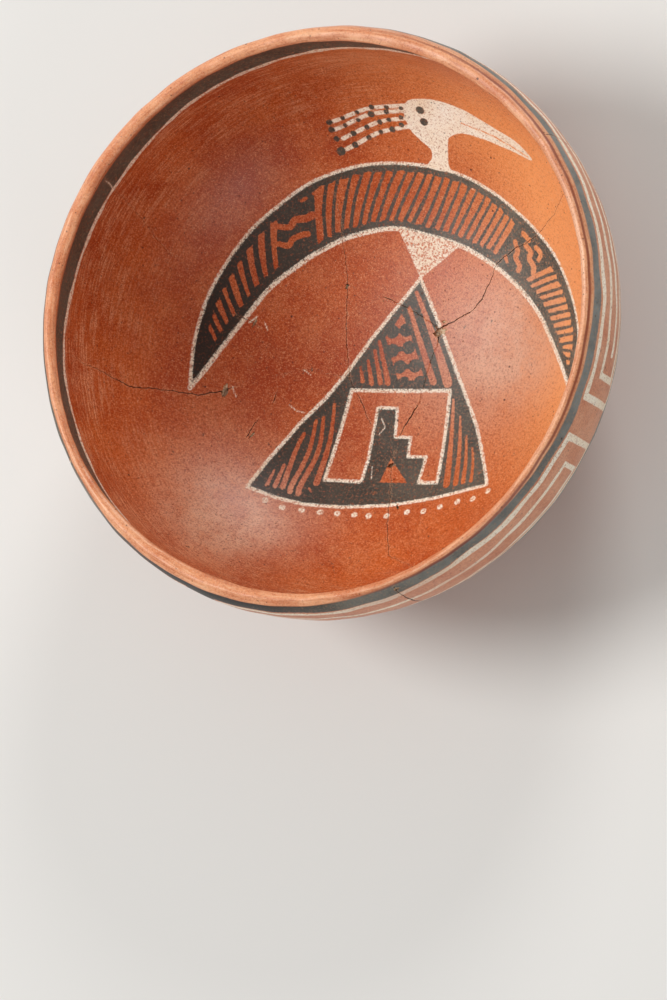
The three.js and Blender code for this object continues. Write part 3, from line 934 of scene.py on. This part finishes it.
def paint_inside(bearing, s, r, corners):
    """Cream and dark fields on the inner face, how grainy the cream is, and how grey the dark is
    under painted light and sheen.
    """
    face = Face(bearing, s, r)
    smooth = rounded(CRESCENT_OUT, step=2), rounded(CRESCENT_IN, step=2)
    crescent = face.shape(np.concatenate([smooth[0], smooth[1][::-1]]))
    bars = crescent_bars(face, *smooth, crescent)
    reds = union(*(face.line(rounded(row[2:], step=1), widths=row[:2]) for row in RED_LINES))
    pairs = [face.line((a, b)) - BLOB_NECK_HALF for a, b in zip(BLOBS[::2], BLOBS[1::2])]
    blobs = union(*pairs, *(face.spot(x, y, BLOB_RADIUS) for x, y in BLOBS))
    blob_ground = np.maximum(face.shape(BLOB_GROUND), -blobs)
    triangle = face.shape(TRIANGLE)
    panel = face.shape(PANEL)
    steps = union(face.shape(STEPS), np.maximum(face.shape(STEPS_FOOT), panel))
    foot = face.shape(FOOT_TRIANGLE)
    red = union(bars, reds, blob_ground)
    dark = union(np.maximum(crescent, -red), np.maximum(triangle, -union(red, panel)))
    dark = union(dark, np.maximum(steps, -foot))
    dots = [face.spot(x, y, radius + 0.25) for x, y, radius in (*EYES, *PLUME_DOTS)]
    line_level = around(bearing, INNER_LINE) + ripples(bearing, (0.5, 11, 0))
    band = np.maximum(line_level + 1.1 - s, s - lip_edge(np.radians(bearing)) + 0.4)
    dark = union(dark, band, *dots)

    head = np.maximum(face.shape(rounded(HEAD, closed=True, step=1.5)), -union(*dots))
    head = np.maximum(head, BEAK_SLIT_HALF - face.line(BEAK_SLIT))
    plumes = union(*(face.line(rounded(p, step=2)) for p in PLUMES)) - PLUME_HALF
    plumes = np.maximum(plumes, -union(*dots))
    vee = face.shape(VEE)
    rings = union(*(abs(face.spot(x, y, DOT_RADIUS)) - DOT_RING_HALF for x, y in DOTS))
    marks = face.strokes(PALE_MARKS)
    spoilt = face.strokes(DARK_MARKS)
    dark = union(dark, spoilt)
    thin = union(
        face.line(smooth[0]) - CRESCENT_OUT_HALF,
        face.line(smooth[1]) - CRESCENT_IN_HALF,
        abs(triangle - 0.2) - TRIANGLE_HALF,
        np.maximum(abs(panel) - PANEL_HALF, -steps),
        np.maximum(abs(steps) - STEPS_HALF, np.where(panel < -0.3, -9, panel)),
    )
    level_line = abs(s - line_level) - INNER_LINE_HALF
    level_line = level_line - ripples(bearing, (0.25, 23, 0), (0.2, 61, 0))
    cream = union(thin, head, plumes, rings, level_line, np.maximum(vee, -crescent))
    cream = np.maximum(union(cream, marks), 0.1 - spoilt)
    grain = np.full(len(s), 0.35)
    for shape, within, much in (
        (thin, 1.2, 0.75), (rings, 1, 0.7), (level_line, 1, 0.7), (head, 1, 0.3), (marks, 1, 0.2),
        (vee, 0.3, 1.0),
    ):
        grain[shape < within] = much
    # Painted sheen on the dark band below the lip, and painted light that greys the dark paint
    # towards the lit wall
    in_band = 0.9 * (s > LIP_START - BAND_DEPTH)
    grey_and_sheen = np.clip(np.maximum((corners @ RIGHTWARD + 80) / 130, in_band), 0, 1)
    return {"cream": cream, "dark": dark, "grain": grain, "grey_and_sheen": grey_and_sheen}


def paint_outside(bearing, q, r, corners):
    """Cream and dark fields on the outer face, how strong the cream is, how black the dark is, how
    grey it is, partly under painted light, and how far the rubbed lip is."""
    z = corners[:, 2]
    slope = np.interp(q, run, np.gradient(whole[:, 1], run))

    def up(level):
        return (z - level) / np.maximum(abs(slope), 0.3)

    def across(centre):
        return apart(bearing, centre) * math.pi / 180 * r

    wave = ripples(bearing, (0.25, 17, 0), (0.2, 29, 50))
    rows = {}
    for name, table in OUTER_LINES.items():
        rows[name] = up(around(bearing, table) + wave * (1 if name in ("first", "third") else -1))

    def panel(top, low, ends):
        return np.maximum(np.maximum(rows[top], -rows[low]), ends)

    half = OUTER_LINE_HALF + ripples(bearing, (0.2, 13, z * 5)) + ripples(bearing, (0.13, 37, 0))
    cream = abs(rows["sixth"]) - half * 0.85
    for start, end, centre in PANELS:
        mid = start + ((end - start) % 360) / 2
        width = ((end - start) % 360) / 2 * math.pi / 180 * r
        from_ends = abs(across(mid)) - width
        large = panel("first", "fifth", from_ends)
        small = panel("second", "fourth", from_ends + PANEL_INSET)
        cream = union(cream, abs(large) - half, abs(small) - half * 0.95)
        if centre:
            cream = union(cream, np.maximum(abs(rows["third"]) - half, from_ends + CENTRE_INSET))
    top, low = up(around(bearing, RIM_BAND_TOP)), up(around(bearing, RIM_BAND_LOW) + wave)
    band = np.maximum(top, -low)
    lower = np.maximum(rows["fifth"] + 1.2, -(rows["sixth"] - 1.2))
    bars = union(*(abs(across(b)) - w * math.pi / 180 * BELLY_RADIUS for b, w in UPRIGHTS))
    bars = np.maximum(bars, np.maximum(-up(UPRIGHTS_FROM), up(UPRIGHTS_TO)))
    dark = union(band, lower, bars)
    cream = np.maximum(cream, -(bars + 0.4))
    from_front = abs(apart(bearing, BLACKEST))
    black = np.clip(1.3 - from_front / 24, 0, 1) * np.clip((z - 90) / 9, 0.12, 1)
    chip = np.hypot(across(CHIP_OUTSIDE[0]), up(CHIP_OUTSIDE[1]))
    dark = np.maximum(union(dark, chip - 2.3), 1.7 - chip)
    cream = np.maximum(union(cream, chip - 1.7), 0.3 - abs(chip - 2))
    fade = np.ones(len(z))
    for centre, height, wide, tall, much in FADED:
        away = (apart(bearing, centre) / wide) ** 2 + ((z - height) / tall) ** 2
        fade *= 1 - much * np.exp(-away)
    # Painted light: the dark paint outside is painted greyer towards the lit side
    rightmost = np.clip(np.cos(np.radians(bearing - GREYEST)), 0, 1)
    return {
        "cream": cream, "dark": dark, "grain": 0.3, "fade": fade, "black": black, "lip": -top,
        "grey_and_sheen": (1 - black) * (1 + 0.9 * rightmost),
    }


def crack_fields(corners, outside, lines):
    """Distance to the nearest break line on the corner's own face, and how open it is there."""
    best = np.full(len(corners), FAR_FROM_BREAK)
    openness = np.zeros(len(corners))
    legs = 12
    for faces, opens in lines:
        for side in (0, 1):
            own = outside == bool(side)
            line, open_here = faces[side], opens[side]
            for k in range(0, len(line) - 1, legs):
                part = line[k : k + legs + 1]
                low, high = part.min(0) - FAR_FROM_BREAK, part.max(0) + FAR_FROM_BREAK
                near = np.flatnonzero(own & ((corners > low) & (corners < high)).all(1))
                if not len(near):
                    continue
                p = corners[near]
                for j in range(len(part) - 1):
                    leg = part[j + 1] - part[j]
                    t = np.clip(((p - part[j]) @ leg) / (leg @ leg), 0, 1)
                    gap = np.linalg.norm(p - part[j] - t[:, None] * leg, axis=1)
                    closer = gap < best[near]
                    at = near[closer]
                    best[at] = gap[closer]
                    a, b = open_here[k + j], open_here[k + j + 1]
                    openness[at] = a + (b - a) * t[closer]
    return best, openness


def uneven(waves, bearing):
    """The height of a table's waves at a bearing in radians."""
    return sum(
        size * np.cos(count * (bearing - math.radians(crest))) for count, size, crest in waves
    )


def thicker(bearing, q):
    """How much thicker inwards the wall is than the even one."""
    thick = sum(much * hump(bearing, centre, spread) for centre, spread, much in THICK_LIP)
    thick = thick * np.clip((q - LIP_START + THICK_BELOW) / THICK_BELOW, 0, 1) ** 2
    centre, spread, much, start, thickest = SWELLING
    rise = 0.5 - 0.5 * np.cos(np.clip((q - start) / (thickest - start), 0, 1) * math.pi)
    fall = 1 - 0.7 * np.clip((q - thickest) / (LIP_START - thickest), 0, 1)
    return thick + much * hump(bearing, centre, spread) * rise * fall


def shaped_by_hand(corners, bearing, q):
    """The corners moved as the potter's hands left the wall: out of round, dented and uneven."""
    x, y, z = corners.T
    far_out = np.hypot(x, y) / BELLY_RADIUS
    wider = 1 + uneven(PLAN_WAVES, bearing) / BELLY_RADIUS * far_out
    taller = 1 + uneven(RIM_WAVES, bearing) / HEIGHT * far_out**2
    dents = sum(much * np.sin(bearing * count + q * drift) for much, count, drift in DENTS)
    wider = wider + dents * far_out**2 / BELLY_RADIUS
    wider = wider - thicker(bearing, q) * np.clip((CREST_RUN - q) / 2, 0, 1) / BELLY_RADIUS
    nicks = sum(much * np.sin(bearing * count + start) for much, count, start in RIM_NICKS)
    z = z * taller + np.clip((z - 100) / 7, 0, 1) * nicks
    return np.column_stack([x * wider, y * wider, z])


# Material


def srgb(*levels):
    def one(v):
        v /= 255
        return v / 12.92 if v <= 0.04045 else ((v + 0.055) / 1.055) ** 2.4

    return (*map(one, levels), 1)


class Nodes:
    """Short ways to add shader nodes to one material."""

    def __init__(self, name):
        self.material = bpy.data.materials.new(name)
        self.material.use_nodes = True
        self.tree = self.material.node_tree
        self.tree.nodes.clear()

    def add(self, kind, **settings):
        made = self.tree.nodes.new(kind)
        for key, value in settings.items():
            setattr(made, key, value)
        return made

    def put(self, socket, value):
        if isinstance(value, bpy.types.NodeSocket):
            self.tree.links.new(value, socket)
        elif value is not None:
            socket.default_value = value

    def math(self, operation, a, b=None, c=None, clamp=False):
        made = self.add("ShaderNodeMath", operation=operation, use_clamp=clamp)
        for socket, value in zip(made.inputs, (a, b, c)):
            self.put(socket, value)
        return made.outputs[0]

    def field(self, name, vector=False):
        made = self.add("ShaderNodeAttribute", attribute_name=name)
        return made.outputs["Vector" if vector else "Fac"]

    def mix(self, share, a, b, blend="MIX"):
        made = self.add("ShaderNodeMix", data_type="RGBA", blend_type=blend)
        self.put(made.inputs[0], share)
        self.put(made.inputs[6], a)
        self.put(made.inputs[7], b)
        return made.outputs[2]

    def noise(self, where, scale, detail=3, roughness=0.6):
        made = self.add("ShaderNodeTexNoise")
        self.put(made.inputs["Vector"], where)
        made.inputs["Scale"].default_value = scale
        made.inputs["Detail"].default_value = detail
        made.inputs["Roughness"].default_value = roughness
        return made.outputs["Fac"]

    def cells(self, where, scale):
        made = self.add("ShaderNodeTexVoronoi")
        self.put(made.inputs["Vector"], where)
        made.inputs["Scale"].default_value = scale
        return made

    def ramp(self, value, low, high, out_low=0.0, out_high=1.0):
        made = self.add("ShaderNodeMapRange", interpolation_type="LINEAR")
        for socket, v in zip(made.inputs, (value, low, high, out_low, out_high)):
            self.put(socket, v)
        return made.outputs[0]

    def times(self, a, b):
        return self.math("MULTIPLY", a, b)

    def centred(self, value):
        return self.math("SUBTRACT", value, 0.5)

    def rest(self, share):
        return self.math("SUBTRACT", 1.0, share)


class Pottery(Nodes):
    """The textures and the surface fields that all layers of the painted pottery share."""

    def __init__(self):
        super().__init__("painted_pottery")
        self.where = self.add("ShaderNodeNewGeometry").outputs["Position"]
        streak_place = self.field("streak", vector=True)
        self.q = self.field("q")
        self.coarse = self.noise(self.where, 22, 4, 0.6)
        self.cloud = self.noise(self.where, 60, 4, 0.65)
        self.fine = self.noise(self.where, 950, 3, 0.75)
        self.grit = self.noise(self.where, 2100, 2, 0.7)
        self.streaks = self.noise(streak_place, 1.0, 4, 0.7)

    def speckled(self, colour, *rows):
        """A colour under specks. Each row: texture, from, to, strength and the specks' colour."""
        for texture, low, high, much, tint in rows:
            colour = self.mix(self.ramp(texture, low, high, 0, much), colour, srgb(*tint))
        return colour

    def weaker_outside(self, value, much, over=3):
        """A value that falls to a share of itself just past the crest of the lip."""
        return self.times(value, self.ramp(self.q, CREST_RUN, CREST_RUN + over, 1, much))


def slip_colour(n):
    """Orange-red slip, with streaked worn places, hazy places that are partly wear and partly
    painted sheen, and paler places of painted light.
    """
    slip = n.mix(n.ramp(n.coarse, 0.38, 0.62), srgb(173, 63, 10), srgb(196, 89, 29))
    slip = n.speckled(slip, (n.cloud, 0.45, 0.7, 0.4, (212, 126, 76)))
    # Painted light: the lit wall is painted paler and brighter
    slip = n.mix(n.field("painted_light"), slip, srgb(248, 162, 98))
    # Hazy places: partly worn slip, partly painted sheen
    haze_and_sheen = n.field("haze_and_sheen")
    patches = n.ramp(n.noise(n.where, 45, 5, 0.75), 0.38, 0.6, 0.5, 1.1)
    haze_and_sheen = n.math("MULTIPLY", haze_and_sheen, patches, clamp=True)
    slip = n.mix(n.times(haze_and_sheen, 0.9), slip, srgb(228, 176, 146))
    # Fewer dark specks where the light is painted
    calm = n.weaker_outside(n.ramp(n.field("painted_light"), 0, 1, 1, 0.5), 0.65)
    specks = n.times(n.ramp(n.fine, 0.5, 0.36, 0, 0.6), calm)
    slip = n.mix(specks, slip, srgb(136, 46, 10))
    slip = n.speckled(slip, (n.fine, 0.54, 0.68, 0.5, (232, 160, 110)))
    worn = n.times(n.ramp(n.streaks, 0.49, 0.57), n.ramp(n.grit, 0.42, 0.52))
    worn = n.times(worn, n.ramp(n.q, 105, 160, 0.08, 0.75))
    worn = n.weaker_outside(worn, 0.4)
    worn = n.times(worn, n.ramp(n.cloud, 0.4, 0.6, 0.3, 1))
    slip = n.mix(worn, slip, srgb(238, 178, 138))
    slip = n.speckled(slip, (n.grit, 0.6, 0.66, 0.6, (236, 182, 140)))
    specks = n.times(n.ramp(n.grit, 0.42, 0.34, 0, 0.6), calm)
    return n.mix(specks, slip, srgb(112, 40, 12))


def with_dark_paint(n, colour, edge):
    """Dark paint over a colour, thin enough that it shows through the paint's grain, and painted
    greyer where light and sheen fall.
    """
    dark_at = n.math("ADD", n.field("dark"), edge)
    grey_and_sheen = n.field("grey_and_sheen")
    # Painted light and sheen: the dark paint is greyer on the lit wall and in the band at the lip
    paint = n.mix(grey_and_sheen, srgb(44, 30, 20), srgb(98, 94, 84))
    paint = n.mix(n.ramp(grey_and_sheen, 1, 2), paint, srgb(136, 140, 138))
    paint = n.speckled(paint, (n.cloud, 0.4, 0.65, 0.5, (40, 34, 28)))
    flecks = n.mix(grey_and_sheen, srgb(58, 40, 28), srgb(140, 126, 106))
    paint = n.mix(n.ramp(n.fine, 0.5, 0.64, 0, 0.7), paint, flecks)
    black = n.field("black")
    paint = n.mix(n.times(black, 0.93), paint, srgb(15, 14, 13))
    bare = n.ramp(n.noise(n.where, 900, 4, 0.8), 0.55, 0.64, 0, 0.55)
    bare = n.weaker_outside(bare, 0.45, over=2)
    bare = n.times(bare, n.ramp(grey_and_sheen, 0, 0.4, 0.5, 1))
    cover = n.times(n.ramp(dark_at, 0.22, -0.22), n.rest(bare))
    return n.mix(cover, colour, paint), cover, grey_and_sheen


def with_cream_paint(n, colour):
    """Cream paint over a colour, grainy where the brush was dry."""
    grain = n.field("grain")
    rough_edge = n.times(n.centred(n.grit), n.math("MULTIPLY_ADD", grain, 2.2, 0.5))
    cream_at = n.math("ADD", n.field("cream"), rough_edge)
    gaps = n.times(n.ramp(n.fine, 0.5, 0.56), n.ramp(grain, 0.25, 1.0, 0.1, 0.95))
    solid = n.times(n.ramp(cream_at, 0.16, -0.16), n.rest(gaps))
    solid = n.times(solid, n.field("fade"))
    cream = n.mix(n.ramp(n.cloud, 0.3, 0.7), srgb(249, 230, 202), srgb(255, 247, 230))
    cream = n.speckled(
        cream, (n.grit, 0.54, 0.62, 0.45, (180, 130, 92)), (n.fine, 0.58, 0.63, 0.7, (140, 84, 54))
    )
    return n.mix(solid, colour, cream), solid


def with_rubbed_lip(n, colour, edge, grey_and_sheen):
    """The lip rubbed down to the paler body, paler still under painted light, with red-brown lines
    along its two shoulders.
    """
    on_lip = n.ramp(n.math("ADD", n.field("lip"), edge), 0.4, -0.4)
    body = n.mix(n.ramp(n.cloud, 0.35, 0.65), srgb(208, 120, 74), srgb(232, 160, 114))
    # Painted light: the lip is painted paler where the wall is lit
    body = n.mix(n.times(n.field("painted_light"), 0.9), body, srgb(252, 200, 164))
    body = n.speckled(
        body,
        (n.grit, 0.5, 0.62, 0.5, (236, 190, 156)),
        (n.fine, 0.5, 0.64, 0.45, (160, 72, 40)),
        (n.streaks, 0.52, 0.62, 0.45, (168, 84, 50)),
        (n.streaks, 0.46, 0.38, 0.4, (246, 196, 156)),
    )
    colour = n.mix(on_lip, colour, body)
    on_right = n.ramp(grey_and_sheen, 1, 1.5)
    for place, strength in ((LIP_START, 0.5), (CREST_RUN + 2.0, n.times(on_right, 0.8))):
        wavy = n.math("MULTIPLY_ADD", n.coarse, 0.8, place - 0.4)
        away = n.math("ABSOLUTE", n.math("SUBTRACT", n.q, wavy))
        line = n.ramp(away, 0.85, 0.3)
        colour = n.mix(n.times(line, strength), colour, srgb(120, 46, 26))
    return colour


def pit_places(n, scale, picked_by, pick, rim, bottom):
    """Pits in a share of the cells that fill the surface."""
    cells = n.cells(n.where, scale)
    chosen = n.math("GREATER_THAN", n.noise(cells.outputs["Position"], picked_by, 0, 0.5), pick)
    return n.times(n.ramp(cells.outputs["Distance"], rim, bottom), chosen)


def with_pits(n, colour):
    """Large and small pits, coloured darker than the surface round them."""
    pits = pit_places(n, 130, 900, 0.57, 0.085, 0.05)
    small = pit_places(n, 420, 1300, 0.61, 0.2, 0.12)
    pits = n.math("MAXIMUM", pits, n.times(small, 0.7))
    return n.mix(n.times(pits, 0.85), colour, srgb(66, 34, 22)), pits


def with_breaks(n, colour):
    """Dirt in the joints, a paler rubbed edge beside them, and bare clay on the break faces."""
    crack = n.field("crack")
    open_here = n.field("open")
    wide = n.math("MULTIPLY_ADD", open_here, 0.5, 0.02)
    wavering = n.math("MULTIPLY_ADD", n.centred(n.fine), 0.5, crack)
    stain = n.rest(n.ramp(n.math("DIVIDE", wavering, wide), 0.55, 1.15))
    rub = n.times(n.ramp(crack, 1.3, 0.4), n.ramp(n.grit, 0.5, 0.6, 0, 0.45))
    rub = n.times(rub, n.ramp(open_here, 0.08, 0.2))
    colour = n.mix(rub, colour, srgb(222, 168, 128))
    dirt = n.times(stain, n.ramp(open_here, 0.1, 0.5, 0.1, 0.95))
    colour = n.mix(dirt, colour, srgb(52, 24, 14))
    raw = n.field("raw")
    clay = n.mix(n.ramp(n.fine, 0.4, 0.6), srgb(196, 148, 108), srgb(238, 214, 182))
    clay = n.speckled(
        clay, (n.cloud, 0.52, 0.6, 0.7, (104, 58, 32)), (crack, 0.75, 0.35, 0.9, (46, 24, 14))
    )
    return n.mix(raw, colour, clay), stain, raw


def painted_pottery():
    n = Pottery()
    slip = slip_colour(n)
    edge = n.times(n.centred(n.fine), 1.1)
    colour, cover, grey_and_sheen = with_dark_paint(n, slip, edge)
    colour, solid = with_cream_paint(n, colour)
    colour = with_rubbed_lip(n, colour, edge, grey_and_sheen)
    colour, pits = with_pits(n, colour)
    colour, stain, raw = with_breaks(n, colour)

    shader = n.add("ShaderNodeBsdfPrincipled")
    n.put(shader.inputs["Base Color"], colour)
    shader.inputs["Specular IOR Level"].default_value = 0.34
    gloss = n.ramp(n.coarse, 0.3, 0.7, 0.36, 0.44)
    gloss = n.math("ADD", gloss, n.times(cover, 0.05))
    gloss = n.math("ADD", gloss, n.times(solid, 0.12))
    gloss = n.math("MAXIMUM", gloss, n.times(raw, 0.9))
    n.put(shader.inputs["Roughness"], gloss)
    height = n.math("MULTIPLY_ADD", n.fine, 0.25, n.times(n.streaks, 0.5))
    for layer, rise in ((n.grit, 0.12), (pits, -1.6), (solid, 0.3), (stain, -0.8)):
        height = n.math("MULTIPLY_ADD", layer, rise, height)
    bump = n.add("ShaderNodeBump")
    bump.inputs["Strength"].default_value = 0.55
    bump.inputs["Distance"].default_value = 0.12 * MM
    n.put(bump.inputs["Height"], height)
    n.put(shader.inputs["Normal"], bump.outputs[0])
    end = n.add("ShaderNodeOutputMaterial")
    n.put(end.inputs[0], shader.outputs[0])
    return n.material


def plain(name, colour, roughness):
    """An even colour without a shine."""
    n = Nodes(name)
    shader = n.add("ShaderNodeBsdfPrincipled")
    shader.inputs["Base Color"].default_value = colour
    shader.inputs["Roughness"].default_value = roughness
    shader.inputs["Specular IOR Level"].default_value = 0
    end = n.add("ShaderNodeOutputMaterial")
    n.put(end.inputs[0], shader.outputs[0])
    return n.material


# Sherds

# A place in each sherd: bearing and share
SHERDS = {
    "back_sherd": (90, 0.6),
    "back_left_sherd": (147, 0.6),
    "left_sherd": (-174, 0.75),
    "front_left_sherd": (-143, 0.6),
    "rim_chip": (-133.2, 0.97),
    "front_sherd": (-95, 0.6),
    "right_sherd": (0, 0.6),
    "middle_sherd": (-135, 0.02),
}
# Hazy places on the inner face, partly worn and partly painted sheen, and places of painted light,
# paler and of fuller colour where the wall is lit: x, y, size, strength
WORN_HAZE_AND_SHEEN = (
    (-98, 50, 26, 0.15), (-50, -104, 32, 0.95), (-30, -85, 26, 0.5), (52, 24, 30, 1.1),
    (25, -5, 35, 0.3),
)
PAINTED_LIGHT_SPOTS = (
    (70, 95, 45, 1.0), (110, 40, 45, 1.0), (20, 125, 35, 0.5), (90, -10, 40, 0.4),
    (-40, 160, 45, 0.45), (150, 85, 45, 0.9), (150, -20, 45, 0.6),
)
# A face this far below the skin is bare clay
RAW_DEPTH = 0.12
# How far apart the inner and the outer face lie on the flat map: at first, and once drawn together
MAP_APART = 420.0
MAP_GAP = 4


def spots_of(bearing, s, table):
    """How strongly the spots of a table, each fading from its middle, cover each corner."""
    t = np.radians(bearing)
    x, y = s * np.cos(t), s * np.sin(t)
    total = np.zeros(len(s))
    for cx, cy, size, strength in table:
        total += strength * np.exp(-((x - cx) ** 2 + (y - cy) ** 2) / (2 * size**2 / 2))
    return np.clip(total, 0, 1)


def map_of(on_outer, bearing, q):
    """Places on a flat map of the two faces, side by side."""
    t = np.radians(bearing)
    s = np.where(on_outer, WHOLE_LENGTH - q, q)
    return np.column_stack([s * np.cos(t) + on_outer * MAP_APART, s * np.sin(t)])


def store(mesh, name, values, domain="POINT"):
    """Keeps a number or a vector for each corner or face of a mesh."""
    vector = values.ndim == 2
    layer = mesh.attributes.new(name, "FLOAT_VECTOR" if vector else "FLOAT", domain)
    layer.data.foreach_set("vector" if vector else "value", values.astype(np.float32).ravel())


def sharpen(mesh, raw):
    """Marks the edges between the skin of a sherd and its raw break faces as sharp."""
    edges = np.empty(len(mesh.loops), np.int32)
    mesh.loops.foreach_get("edge_index", edges)
    low, high = np.full(len(mesh.edges), 9.0), np.full(len(mesh.edges), -9.0)
    per_corner = np.repeat(raw, 3)
    np.minimum.at(low, edges, per_corner)
    np.maximum.at(high, edges, per_corner)
    sharp = mesh.attributes.get("sharp_edge")
    sharp = sharp or mesh.attributes.new("sharp_edge", "BOOLEAN", "EDGE")
    sharp.data.foreach_set("value", high - low > 0.5)


def lay_out(mesh, corners, faces, q, on_outer):
    """Lays a sherd's two faces side by side on a square map."""
    bearing = np.degrees(np.arctan2(corners[:, 1], corners[:, 0]))
    outer_part = np.repeat(on_outer, 3)
    at = faces.ravel()
    flat = map_of(outer_part, bearing[at], q[at])
    if outer_part.any() and (~outer_part).any():
        gap = flat[outer_part, 0].min() - flat[~outer_part, 0].max()
        flat[outer_part, 0] -= gap - MAP_GAP
    low, high = flat.min(0), flat.max(0)
    flat = (flat - low) / (high - low).max() * 0.98 + 0.01
    layer = mesh.uv_layers.new(name="OFBake")
    layer.data.foreach_set("uv", flat.astype(np.float32).ravel())


def sherd_object(name, corners, faces, fields, raw, on_outer, finish):
    used = np.unique(faces)
    back = np.zeros(len(corners), int)
    back[used] = np.arange(len(used))
    made = object_of(name, corners[used] * MM, back[faces])
    mesh = made.data
    for key, values in fields.items():
        store(mesh, key, values[used])
    store(mesh, "raw", raw, "FACE")
    sharpen(mesh, raw)
    lay_out(mesh, corners, faces, fields["q"], on_outer)
    mesh.shade_smooth()
    mesh.materials.append(finish)
    mesh.validate()
    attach(made, "root")
    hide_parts(name)


def surface_fields(corners, bearing, q, r, depth, outside, lines):
    """What the material needs to know at each corner of the pot."""
    t = np.radians(bearing)
    inside = (q < CREST_RUN) & (depth < 3)
    blank = {"cream": FAR, "dark": FAR, "grain": 0.35, "fade": 1.0, "black": 0.0, "grey_and_sheen": 0.0}
    fields = {key: np.full(len(corners), value) for key, value in blank.items()}
    fields["lip"] = lip_edge(t) + 0.1 - q
    for part, paint in ((inside, paint_inside), (~inside, paint_outside)):
        for key, values in paint(bearing[part], q[part], r[part], corners[part]).items():
            fields[key][part] = values
    fields["crack"], fields["open"] = crack_fields(corners, outside, lines)
    fields["q"] = q
    fields["streak"] = np.column_stack([np.cos(t) * 6, np.sin(t) * 6, q * 0.9])
    # Worn haze and painted sheen: spots on the inner face, and on the outer face a painted sheen
    # that is strongest towards bearing 17 degrees
    fields["haze_and_sheen"] = np.where(inside, spots_of(bearing, q, WORN_HAZE_AND_SHEEN), 0.45 + 0.25 * np.cos(t - 0.3))
    # Painted light: spots on the lit inner wall, and a little all over the outer face
    fields["painted_light"] = np.where(inside, spots_of(bearing, q, PAINTED_LIGHT_SPOTS), 0.1)
    return fields


def mended_bowl():
    corners, faces, lines = broken_pot()
    label = islands(len(corners), faces)
    r = np.hypot(corners[:, 0], corners[:, 1])
    q, depth, outside = on_profile(r, corners[:, 2])
    bearing = np.degrees(np.arctan2(corners[:, 1], corners[:, 0]))
    centre = corners[faces].mean(1)
    face_q, face_depth, _ = on_profile(np.hypot(centre[:, 0], centre[:, 1]), centre[:, 2])
    raw = (np.maximum(face_depth, depth[faces].max(1)) > RAW_DEPTH).astype(float)
    on_outer = face_q > CREST_RUN
    fields = surface_fields(corners, bearing, q, r, depth, outside, lines)
    shaped = shaped_by_hand(corners, np.radians(bearing), q)
    finish = painted_pottery()
    for name, (b, share) in SHERDS.items():
        point, out = wall_place(np.array(float(b)), np.array(share))
        target = point - out * float(half_wall(share))
        nearest = ((corners - target) ** 2).sum(1).argmin()
        own = label[faces[:, 0]] == label[nearest]
        sherd_object(name, shaped, faces[own], fields, raw[own], on_outer[own], finish)
        print(name, int(own.sum()), "triangles")


# Stage


# Soft boxes: direction, size and power
LIGHT_DISTANCE = 3
LIGHTS = {
    "key_soft_box": ((-0.6, -0.2, 0.79), 1.4, 62),
    "left_soft_box": ((0.71, -0.51, 0.6), 1.1, 12),
    "back_soft_box": ((-0.02, 0.93, 0.5), 0.95, 34),
}


def area_light(name, direction, size, power):
    data = bpy.data.lights.new(name, "AREA")
    data.shape = "DISK"
    data.size = size
    data.energy = power
    made = bpy.data.objects.new(name, data)
    bpy.context.scene.collection.objects.link(made)
    way = Vector(direction).normalized()
    made.location = Vector((0, 0, 0.05)) + way * LIGHT_DISTANCE
    made.rotation_mode = "QUATERNION"
    made.rotation_quaternion = way.to_track_quat("Z", "Y")


def studio():
    bpy.ops.mesh.primitive_plane_add(size=30)
    floor = bpy.context.object
    floor.name = "floor"
    floor.data.materials.append(plain("floor", srgb(222, 220, 216), 1))
    world = bpy.data.worlds.new("studio")
    world.use_nodes = True
    sky = world.node_tree.nodes["Background"].inputs
    sky["Color"].default_value = (1, 1, 1, 1)
    sky["Strength"].default_value = 0.36
    bpy.context.scene.world = world
    for name, row in LIGHTS.items():
        area_light(name, *row)
    bpy.context.scene.view_settings.view_transform = "Standard"


# The camera looks at a point on the axis from a long way off, so that the view is nearly flat-on
CAMERA_AZIMUTH = 80.39
CAMERA_ELEVATION = 64.32
CAMERA_ROLL = -61.945
CAMERA_DISTANCE = 9945.6
PIXELS_PER_MM = 2.251
TARGET_HEIGHT = 50
TARGET_PIXEL = (364.3, 340.6)
PICTURE = (667, 1000)


def camera():
    a, e, roll = (math.radians(v) for v in (CAMERA_AZIMUTH, CAMERA_ELEVATION, CAMERA_ROLL))
    back = Vector((math.sin(a) * math.cos(e), -math.cos(a) * math.cos(e), math.sin(e)))
    right = Vector((math.cos(a), math.sin(a), 0))
    up = back.cross(right)
    c, s = math.cos(roll), math.sin(roll)
    right, up = c * right + s * up, -s * right + c * up
    data = bpy.data.cameras.new("camera")
    data.sensor_fit = "AUTO"
    data.sensor_width = 36
    data.lens = PIXELS_PER_MM * CAMERA_DISTANCE / max(PICTURE) * data.sensor_width
    data.shift_x = (PICTURE[0] / 2 - TARGET_PIXEL[0]) / max(PICTURE)
    data.shift_y = (TARGET_PIXEL[1] - PICTURE[1] / 2) / max(PICTURE)
    data.clip_start, data.clip_end = 1, 100
    made = bpy.data.objects.new("camera", data)
    bpy.context.scene.collection.objects.link(made)
    turned = Matrix((right, up, back)).transposed().to_4x4()
    place = Vector((0, 0, TARGET_HEIGHT * MM)) + back * CAMERA_DISTANCE * MM
    made.matrix_world = Matrix.Translation(place) @ turned
    bpy.context.scene.camera = made


mended_bowl()
studio()
camera()
